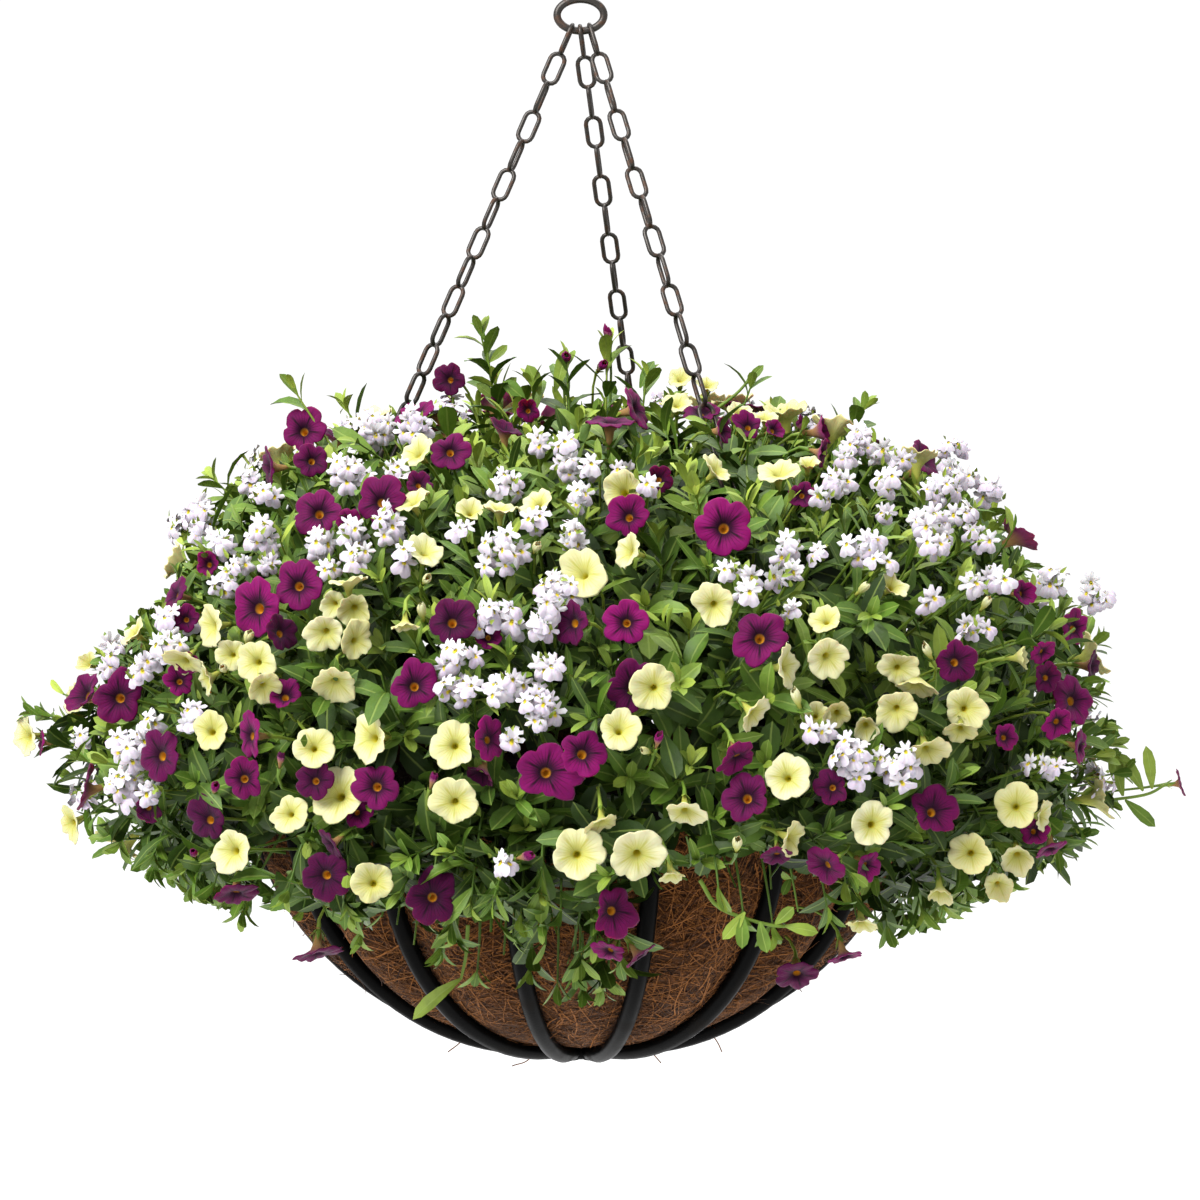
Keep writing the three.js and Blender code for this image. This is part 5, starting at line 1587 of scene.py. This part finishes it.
# ---- The nemesia ----
@dataclass
class NemesiaBed:
    """White nemesia heads, each a cluster of two-lipped florets."""

    fill: tuple[int, float] = (8, 46.0)
    extra: tuple[int, float] = (34, 30.0)
    seed: int = 37
    floret: float = 6.8
    fill_size: float = 22.0
    room: float = 70.0
    florets: tuple[int, int] = (2, 9)
    least_reach: float = 2.5
    dome: float = 5.0
    buds: int = 5
    petal_angle: float = 15.0
    random: Random = field(init=False)
    greenery: Greenery = field(init=False)
    seats: Array = field(init=False)
    faces: Array = field(init=False)
    sizes: Array = field(init=False)

    # How far the petals reach, every 15 degrees from straight down: a broad lip and a fan of four.
    OUTLINE = (0.82, 0.98, 1.0, 0.92, 0.62, 0.3, 0.66, 0.82, 0.72, 0.36, 0.78, 0.86, 0.55, 0.86,
               0.78, 0.36, 0.72, 0.82, 0.66, 0.3, 0.62, 0.92, 1.0, 0.98)
    RINGS = (0.02, 0.36, 0.72, 1.0)

    def lay_out(self, taken: Array) -> Array:
        """Seats the heads.

        Args:
            taken: Places already taken, one in a row.

        Returns:
            The seats of the planned heads and of those that fill the back.
        """
        rows = np.array(NEMESIA_HEADS + NEMESIA_SMALL, float)
        seats = MOUND.seats(rows[:, 0], rows[:, 1])
        planned = seats[:len(NEMESIA_HEADS)]
        first = MOUND.fill(*self.fill, self.seed, np.concatenate([taken, planned]))
        more = MOUND.fill(*self.extra, self.seed + 100, np.concatenate([taken, seats, first]), SIDE_WRAP)
        more = more[within_outline(more, FILL_MARGIN) & (more[:, 2] > FILL_FLOOR)]
        back = np.concatenate([first, more])
        self.seats = np.concatenate([seats, back])
        front = np.broadcast_to(MOUND.sheet.facing(0, 10), seats.shape)
        self.faces = np.concatenate([front, MOUND.normals(back)])
        self.sizes = np.concatenate([rows[:, 2:] * MOUND.sheet.unit, np.full((len(back), 2), self.fill_size)])
        return np.concatenate([planned, first])

    def build(self, greenery: Greenery) -> None:
        """Makes the florets.

        Args:
            greenery: Where their stalks and buds go.
        """
        self.random, self.greenery = np.random.default_rng(self.seed), greenery
        places, faces = [], []
        for seat, face, (wide, high) in zip(self.seats, self.faces, self.sizes):
            right, up = (part[0] for part in square_up(face[None]))
            count = int(np.clip(round(wide * high / self.room), *self.florets))
            index = np.arange(count) + 0.5
            turn, reach = index * GOLDEN_ANGLE + self.random.uniform(0, ANY_PHASE), np.sqrt(index / count)
            a, b = reach * np.cos(turn), reach * np.sin(turn)
            a, b = a + self.random.normal(0, 0.1, count), b + self.random.normal(0, 0.1, count)
            side, tall = (np.maximum(span / 2 - self.floret * 0.5, self.least_reach) for span in (wide, high))
            bow = (1 - reach ** 2) * self.dome + self.random.normal(0, 2.6, count)
            places.append(seat + np.outer(a * side, right) + np.outer(b * tall, up) + np.outer(bow - 2, face))
            spread = np.outer(a, right) + np.outer(b, up) + self.random.normal(0, 0.55, (count, 3))
            faces.append(unit(face + 0.6 * spread))
            self.add_stalks(places[-1], faces[-1], seat, face)
        self.add_florets(np.concatenate(places), np.concatenate(faces))

    def add_florets(self, places: Array, faces: Array) -> None:
        """Makes the petals of all florets.

        Args:
            places: The middle of each floret.
            faces: The direction that it faces.
        """
        count, around = len(places), len(self.OUTLINE)
        right, up = square_up(-faces)
        right = -right
        turn = np.radians(self.petal_angle * np.arange(around) - 90)[None, None]
        roll = self.random.normal(0, 0.4, (count, 1, 1))
        share = np.array(self.RINGS)[None, :, None]
        outline = np.array(self.OUTLINE)[None, None]
        reach = share * (1 - (1 - outline) * np.clip(share * 1.4, 0, 1))
        lower = np.clip(-np.sin(turn), 0, 1)
        depth = lower * (0.16 * np.sin(math.pi * share) - 0.3 * share ** 3) - 0.2 * (1 - share) ** 3
        stray = self.random.normal(0, 0.09, (count, 1, around))
        depth = depth - (1 - lower) * 0.12 * share ** 2 + stray * share
        size = self.random.uniform(0.8, 1.12, (count, 1, 1, 1)) * self.floret
        across, upwards = reach * np.cos(turn + roll), reach * np.sin(turn + roll)
        points = places[:, None, None] + size * (
            across[..., None] * right[:, None, None] + upwards[..., None] * up[:, None, None]
            + depth[..., None] * faces[:, None, None]
        )
        spot = share + 0.5 * (1 - lower) * (share > 0.1)
        traits = {"span": spot * 0.55, "lobe": 1 - outline, "back": 0.0, "tube": 0.0,
                  "tone": self.random.uniform(0, 1, (count, 1, 1)) ** 0.7}
        batch = MeshBatch(*traits)
        batch.add(points, lattice(len(self.RINGS), around), **traits)
        batch.piece("nemesia_florets", "nemesia_petal", NEMESIA.make(), *named("nemesia_spray"))

    def add_stalks(self, places: Array, faces: Array, seat: Array, face: Array) -> None:
        """Gives each floret a thread of a stalk, and the head a stem with a few buds.

        Args:
            places: The middle of each floret.
            faces: The direction that it faces.
            seat: The middle of the head.
            face: The direction that the head faces.
        """
        core = seat - face * 8
        bend = (places + core) / 2 - face * 2
        paths = np.stack([places - faces * 0.5, bend, np.broadcast_to(core, places.shape)], 1)
        tone = self.random.uniform(0.6, 0.95, len(places))
        self.greenery.add_stems(paths, np.array([0.9, 0.4, 0.5]), tone, 4)
        inward = unit(MOUND.centre - core)
        stem = np.stack([core, core + inward * 10 - UP * 3, core + inward * 26 - UP * 8])[None]
        self.greenery.add_stems(stem, np.array([0.8]), np.array([0.6]))
        count = self.buds
        foot = seat + self.random.normal(0, 3.2, (count, 3)) - face * 1.0
        way = unit(face + self.random.normal(0, 0.5, (count, 3)) + UP * 0.5)
        self.greenery.add_leaves(
            NARROW, self.random.uniform(0.75, 1, count), foot, way, np.broadcast_to(face, (count, 3)),
            self.random.uniform(3.5, 6, count), np.full(count, 2.0), np.full(count, 0.1), np.full(count, 0.5),
        )


# ---- The foliage ----
@dataclass
class Foliage:
    """Leafy shoots all round the mound, and the shaded leaves under them."""

    shoots: int = 980
    leaves: int = 10
    spacing: float = 17.0
    under: int = 2600
    seed: int = 53
    stem_radius: float = 0.75
    stem_steps: int = 6
    # A shoot's tone is painted lighter above the even height and darker below it, wholly so after the rise:
    # painted light from above.
    painted_light_even_height: float = 90.0
    painted_light_rise: float = 260.0
    near_nemesia: float = 22.0
    near_width: float = 0.62
    head_share: float = 2.4
    outer_width: float = 0.95
    rays: int = 9000
    floor: float = -88.0
    sink: float = 42.0
    pull: float = 0.965
    pulls: int = 14
    shoot_reach: Pair = (42, 66)
    # How far outside and above the rim a hanging shoot starts, and the height below which one hangs.
    over_rim: float = 14.0
    hang_below: float = -12.0
    # The length, width and opening of a leaf, and what they lose towards the tip.
    leaf_length: Pair = (24, 14)
    leaf_width: Pair = (8.8, 4.8)
    leaf_angle: Pair = (72, 44)
    # The room round a face: behind and beside it in its radii, before it, and how far back it counts.
    room_behind: float = 0.15
    room_beside: float = 0.82
    room_before: float = 90.0
    sight_back: float = 30.0
    random: Random = field(init=False)
    greenery: Greenery = field(init=False)
    stems: list[tuple[Array, Array]] = field(default_factory=list)

    def build(self, beds: list[BloomBed], nemesia: NemesiaBed, greenery: Greenery) -> None:
        """Grows the shoots clear of the flowers.

        Args:
            beds: The beds of calibrachoa.
            nemesia: The bed of nemesia.
            greenery: Where the shoots' stems go.
        """
        self.random, self.greenery = np.random.default_rng(self.seed), greenery
        tips, ways = self.tips()
        outer_tips, outer_ways = self.outer_tips()
        near = np.linalg.norm(tips[:, None] - nemesia.seats[None], axis=2).min(1) < self.near_nemesia
        leaves = [
            self.grow(tips[~near], ways[~near], 1.0, True),
            self.grow(tips[near], ways[near], self.near_width, True),
            self.shaded(),
            self.grow(outer_tips, outer_ways, self.outer_width, False),
            self.clear_leaves(),
        ]
        flowers = (
            np.concatenate([*(bed.seats for bed in beds), nemesia.seats]),
            np.concatenate([*(bed.faces for bed in beds), nemesia.faces]),
            np.concatenate([*(bed.clearing for bed in beds), nemesia.sizes.mean(1) / self.head_share]),
        )
        for paths, tone in self.stems:
            still = np.zeros(len(paths))
            ends = [self.clear_of_flowers(paths[:, step], paths[:, 0], still, *flowers)
                    for step in range(1, self.stem_steps)]
            clear = np.all(ends, axis=0)
            self.greenery.add_stems(paths[clear], self.taper(), tone[clear], 4)
        gathered = [np.concatenate(parts) for parts in zip(*leaves)]
        kept = self.clear_of_flowers(gathered[0], gathered[1], gathered[3], *flowers)
        gathered = [part[kept] for part in gathered]
        finish, front = LeafFinish("leaf_green").make(), gathered[0][:, 1] < 0
        for name, side, nodes in (("leaves_front", front, named("leafy_stem")), ("leaves_back", ~front, ())):
            *sizes, tone = (part[side] for part in gathered)
            batch = MeshBatch("tone", "edge")
            batch.add(*BROAD.sheets(*sizes), tone=tone[:, None], edge=BROAD.edge()[None])
            batch.piece(name, "leaf", finish, *nodes)

    def tips(self) -> tuple[Array, Array]:
        """Spreads the tips of the shoots over the mound.

        Returns:
            The tips and the directions in which the shoots grow.
        """
        kept = np.zeros((0, 3))
        rays = unit(self.random.normal(0, 1, (self.rays, 3)) * np.array([1.0, 1.0, 0.85]))
        for point in MOUND.out(rays):
            if len(kept) == self.shoots:
                break
            clear = (np.linalg.norm(kept - point, axis=1) > self.spacing).all()
            if point[2] > self.floor and clear:
                kept = np.vstack([kept, point])
        normals = MOUND.normals(kept)
        kept = kept - normals * (self.random.uniform(0, 1, (len(kept), 1)) ** 1.6 * self.sink)
        for _ in range(self.pulls):
            outside = ~within_outline(kept, 9)
            kept = np.where(outside[:, None], MOUND.centre + (kept - MOUND.centre) * self.pull, kept)
        kept, normals = kept[within_outline(kept, 5)], normals[within_outline(kept, 5)]
        low = np.clip(-kept[:, 2:] / 60, 0, 1)
        sway = self.random.normal(0, 0.42, kept.shape)
        ways = unit(normals + UP * (0.35 - 0.95 * low) + sway)
        return kept, ways

    def outer_tips(self) -> tuple[Array, Array]:
        """Places the shoots that stand out of the mound.

        Returns:
            Their tips and the directions in which they grow.
        """
        rows = np.array(OUTER_SHOOTS, float)
        seats = MOUND.seats(rows[:, 0], rows[:, 1])
        ways = unit(seats - MOUND.centre)
        hang = seats[:, 2:] < -30
        ways = unit(ways * np.where(hang, 0.35, 1.0) + UP * np.where(hang, -0.9, 0.25))
        return seats - ways * 6, ways

    def grow(self, tips: Array, ways: Array, width: float, bounded: bool) -> Leaves:
        """Grows shoots with leaves in a spiral that close up towards the tip.

        Args:
            tips: The tips of the shoots.
            ways: The directions in which they grow.
            width: How broad the leaves are, as a share of the broadest.
            bounded: Whether leaves that leave the mound's outline are dropped.

        Returns:
            The leaves.
        """
        count = len(tips)
        reach = self.random.uniform(*self.shoot_reach, count)[:, None]
        inward = unit(self.homes(tips) - tips)
        bend = tips - ways * reach * 0.45
        start = bend + (inward * 0.8 - ways * 0.35) * reach * 0.5
        share = np.linspace(0, 1, self.stem_steps)[None, :, None]
        paths = self.bow(start, bend, tips, share)
        # Painted light: the tone rises with the shoot's height and falls below the even height, added to a
        # random freshness.
        rise = (tips[:, 2] - self.painted_light_even_height) / self.painted_light_rise
        fresh_and_lit = np.clip(0.85 * self.random.uniform(0, 1, count) ** 1.3 + rise, 0, 1)
        inside = clear_of_bowl(paths).all(1)
        if bounded:
            self.stems.append((paths[inside], 0.35 + 0.4 * fresh_and_lit[inside]))
        else:
            self.greenery.add_stems(paths, self.taper(), 0.35 + 0.4 * fresh_and_lit, 4)
        total = self.leaves + 3
        place = np.concatenate([np.linspace(0.12, 0.93, self.leaves), [0.96, 0.98, 1.0]])
        place = np.broadcast_to(place, (count, total))[..., None]
        foot = self.bow(start, bend, tips, place)
        stem = unit(2 * (1 - place) * (bend - start)[:, None] + 2 * place * (tips - bend)[:, None])
        right, up = square_up(stem)
        turn = np.arange(total) * GOLDEN_ANGLE + self.random.uniform(0, ANY_PHASE, (count, 1))
        turn = (turn + self.random.normal(0, 0.25, (count, total)))[..., None]
        radial = right * np.cos(turn) + up * np.sin(turn)
        widest, closing = self.leaf_angle
        open_angle = np.radians(widest - closing * place ** 2 + self.random.normal(0, 9, place.shape))
        way = unit(stem * np.cos(open_angle) + radial * np.sin(open_angle) + UP * 0.1)
        face = unit(stem + UP * 0.35 - radial * 0.2 + self.random.normal(0, 0.2, way.shape))
        young = np.clip((place[..., 0] - 0.7) / 0.3, 0, 1)
        size = self.random.uniform(0.8, 1.15, (count, total))
        length = (self.leaf_length[0] - self.leaf_length[1] * young ** 1.5) * size
        broad = (self.leaf_width[0] - self.leaf_width[1] * young) * width
        broad = broad * self.random.uniform(0.85, 1.2, (count, total))
        arch = self.random.uniform(0.0, 0.42, (count, total))
        fold = self.random.uniform(0.1, 0.5, (count, total))
        stray = self.random.normal(0, 0.1, (count, total))
        tone = np.clip(0.2 + 0.42 * fresh_and_lit[:, None] + 0.4 * young + stray, 0, 1)
        columns = [foot.reshape(-1, 3), way.reshape(-1, 3), face.reshape(-1, 3),
                   *(part.reshape(-1) for part in (length, broad, arch, fold, tone))]
        ends = columns[0] + columns[1] * columns[3][:, None]
        kept = clear_of_bowl(columns[0]) & clear_of_bowl(ends) & ~before_coir(columns[0], ends)
        if bounded:
            kept &= within_outline(columns[0], 0) & within_outline(ends, -5)
        return tuple(column[kept] for column in columns)

    def taper(self) -> Array:
        """The radii along a stem."""
        return np.linspace(1.1, 0.6, self.stem_steps)[None] * self.stem_radius

    def homes(self, tips: Array) -> Array:
        """Where the stems of tips come from: the middle, or over the rim for those that hang."""
        out = unit(tips * np.array([1.0, 1.0, 0.0])) * (RIM_OUTER_RADIUS + self.over_rim)
        return np.where(tips[:, 2:] < self.hang_below, out + UP * self.over_rim, MOUND.centre)

    @staticmethod
    def bow(start: Array, bend: Array, tip: Array, share: Array) -> Array:
        """Points at shares along the bow from start over bend to tip."""
        start, bend, tip = start[:, None], bend[:, None], tip[:, None]
        return start * (1 - share) ** 2 + bend * 2 * share * (1 - share) + tip * share ** 2

    def shaded(self) -> Leaves:
        """Leaves in the depth of the mound, whose low tone paints the shade there.

        Returns:
            The leaves.
        """
        rays = unit(self.random.normal(0, 1, (self.under, 3)))
        depth = self.random.uniform(0.62, 0.9, (self.under, 1))
        foot = MOUND.centre + (MOUND.out(rays) - MOUND.centre) * depth
        way = unit(self.random.normal(0, 1, foot.shape) + UP * 0.2)
        face = unit(rays + self.random.normal(0, 0.35, foot.shape))
        length, width = self.random.uniform(20, 31, self.under), self.random.uniform(8, 13, self.under)
        # Painted shade: these leaves' tone is held low, from 0 to 0.3.
        columns = (foot, way, face, length, width, self.random.uniform(0, 0.4, self.under),
                   self.random.uniform(0.1, 0.4, self.under), self.random.uniform(0.0, 0.3, self.under))
        ends = foot + way * length[:, None]
        kept = clear_of_bowl(foot) & clear_of_bowl(ends) & (foot[:, 2] > -85)
        kept &= within_outline(foot, 10) & within_outline(ends, 2) & ~before_coir(foot, ends)
        return tuple(column[kept] for column in columns)

    def clear_leaves(self) -> Leaves:
        """The single leaves and stems that stand clear of the mound.

        Returns:
            The leaves.
        """
        sheet = MOUND.sheet
        _, right, up = sheet.axes()
        rows = np.array(CLEAR_LEAVES, float)
        foot = MOUND.seats(rows[:, 0], rows[:, 1])
        step = np.outer(rows[:, 2] - rows[:, 0], right) - np.outer(rows[:, 3] - rows[:, 1], up)
        step = step * sheet.unit
        length = np.linalg.norm(step, axis=1)
        way = unit(step - BACK * length[:, None] * 0.12)
        face = unit(np.array([0.0, -1.0, 0.35]) + self.random.normal(0, 0.3, foot.shape))
        for run in CLEAR_STEMS:
            line = np.array(run, float)
            depth = MOUND.seats(line[-1:, 0], line[-1:, 1])[0, 1]
            path = curve_through(sheet.at_depth(line[:, 0], line[:, 1], depth), 5)[None]
            self.greenery.add_stems(path, np.linspace(1.1, 0.7, path.shape[1]), np.array([0.6]), 6)
        ranges = ((0.05, 0.25), (0.1, 0.35), (0.45, 0.8))
        drawn = [self.random.uniform(low, high, len(rows)) for low, high in ranges]
        return foot, way, face, length * 1.05, rows[:, 4] * sheet.unit, *drawn

    def clear_of_flowers(self, foot: Array, way: Array, length: Array, seats: Array, faces: Array,
                         radii: Array) -> Array:
        """Whether each leaf leaves the faces of the flowers in sight.

        Args:
            foot: Where each leaf starts.
            way: Its direction.
            length: Its length.
            seats: The middle of each flower.
            faces: The direction that each flower faces.
            radii: The radius of each flower.

        Returns:
            A truth value for each leaf.
        """
        eye = np.array(MOUND.sheet.eye)
        kept = np.ones(len(foot), bool)
        for share in (0.3, 0.65, 1.0):
            points = foot + way * (length * share)[:, None]
            for seat, face, radius in zip(seats, faces, radii):
                away = points - seat
                for sight in (face, unit(eye - seat)):
                    if sight is not face and seat[1] > self.sight_back:
                        continue
                    ahead = away @ sight
                    aside = np.linalg.norm(away - np.outer(ahead, sight), axis=1)
                    near = (ahead > -self.room_behind * radius) & (ahead < self.room_before)
                    kept &= ~(near & (aside < radius * self.room_beside))
        return kept


# ---- The studio ----
@dataclass(frozen=True)
class Studio:
    """A pale floor, an even white surround, two large soft lights and the camera."""

    lens: float = 85.7
    sensor: float = 36.0
    camera_place: Triple = (0.0, -1.485, -0.219)
    camera_aim: Triple = (0.010, 0.0, -0.348)
    floor_height: float = -1.35
    floor_size: float = 60.0
    floor_tone: float = 0.97
    surround: float = 1.07
    key_power: float = 140.0
    key_size: float = 1.6
    key_place: Triple = (-1.2, -1.5, 1.3)
    top_place: Triple = (0.3, 0.5, 1.6)
    top_share: float = 0.35

    def build(self) -> None:
        """Sets up the floor, the lights and the camera."""
        scene = bpy.context.scene
        scene.view_settings.view_transform = "Standard"
        self.add_floor()
        world = bpy.data.worlds.new("surround")
        world.use_nodes = True
        backdrop = world.node_tree.nodes["Background"]
        backdrop.inputs["Color"].default_value = (1.0, 1.0, 1.0, 1.0)
        backdrop.inputs["Strength"].default_value = self.surround
        scene.world = world
        self.add_light("key", self.key_place, self.key_power)
        self.add_light("top", self.top_place, self.key_power * self.top_share)
        lens = bpy.data.cameras.new("camera")
        lens.lens, lens.sensor_width = self.lens, self.sensor
        scene.camera = self.aim("camera", lens, self.camera_place)

    def add_light(self, name: str, place: Triple, power: float) -> None:
        """Adds a large soft light that looks at the basket.

        Args:
            name: The light's name.
            place: Where it stands.
            power: Its power in watts.
        """
        light = bpy.data.lights.new(name, "AREA")
        light.energy, light.size = power, self.key_size
        self.aim(name, light, place)

    def aim(self, name: str, data: bpy.types.ID, place: Triple) -> bpy.types.Object:
        """Stands a light or the camera at a place and turns it to the basket.

        Args:
            name: The object's name.
            data: The light or camera.
            place: Where it stands.

        Returns:
            The new object.
        """
        aimed = bpy.data.objects.new(name, data)
        aimed.location = place
        sight = Vector(self.camera_aim) - Vector(place)
        aimed.rotation_euler = sight.to_track_quat("-Z", "Y").to_euler()
        bpy.context.scene.collection.objects.link(aimed)
        return aimed

    def add_floor(self) -> None:
        """Lays the pale floor."""
        half = self.floor_size / 2
        mesh = bpy.data.meshes.new("floor")
        places = [(-half, -half, 0), (half, -half, 0), (half, half, 0), (-half, half, 0)]
        mesh.from_pydata(places, [], [(0, 1, 2, 3)])
        graph = Graph("floor")
        colour = (self.floor_tone, self.floor_tone, self.floor_tone, 1.0)
        mesh.materials.append(graph.dress(colour, 0.9, Specular_IOR_Level=0.0))
        floor = bpy.data.objects.new("floor", mesh)
        floor.location.z = self.floor_height
        bpy.context.scene.collection.objects.link(floor)


def named(prefix: str) -> tuple[str, ...]:
    """The solids whose names start with a prefix."""
    return tuple(sorted(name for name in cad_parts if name.startswith(prefix)))


def main() -> None:
    """Builds the basket from the wire outwards, then its plants and the studio."""
    logging.basicConfig(level=logging.INFO, format="%(name)s %(message)s")
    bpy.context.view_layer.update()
    Studio().build()
    BasketFrame().build()
    CoirLiner().build()
    PottingSoil().build()
    Suspension().build()
    purple = BloomBed(
        colour="purple", finish=PURPLE, plan=PURPLE_BLOOMS, small=PURPLE_SMALL, buds=PURPLE_BUDS,
        fill=(12, 56.0), extra=(42, 31.0), seed=11, notch=0.21, cup=0.02, ruffle=0.05,
    )
    yellow = BloomBed(
        colour="yellow", finish=YELLOW, plan=YELLOW_BLOOMS, small=YELLOW_SMALL, buds=YELLOW_BUDS,
        fill=(12, 50.0), extra=(40, 29.0), seed=23, notch=0.13, cup=0.2, ruffle=0.075, crease=0.1,
    )
    nemesia = NemesiaBed()
    greenery = Greenery()
    taken = purple.lay_out(np.zeros((0, 3)))
    taken = np.concatenate([taken, yellow.lay_out(taken)])
    nemesia.lay_out(taken)
    for bed in (purple, yellow, nemesia):
        bed.build(greenery)
    Foliage().build([purple, yellow], nemesia, greenery)
    greenery.build()


if __name__ == "__main__":
    main()
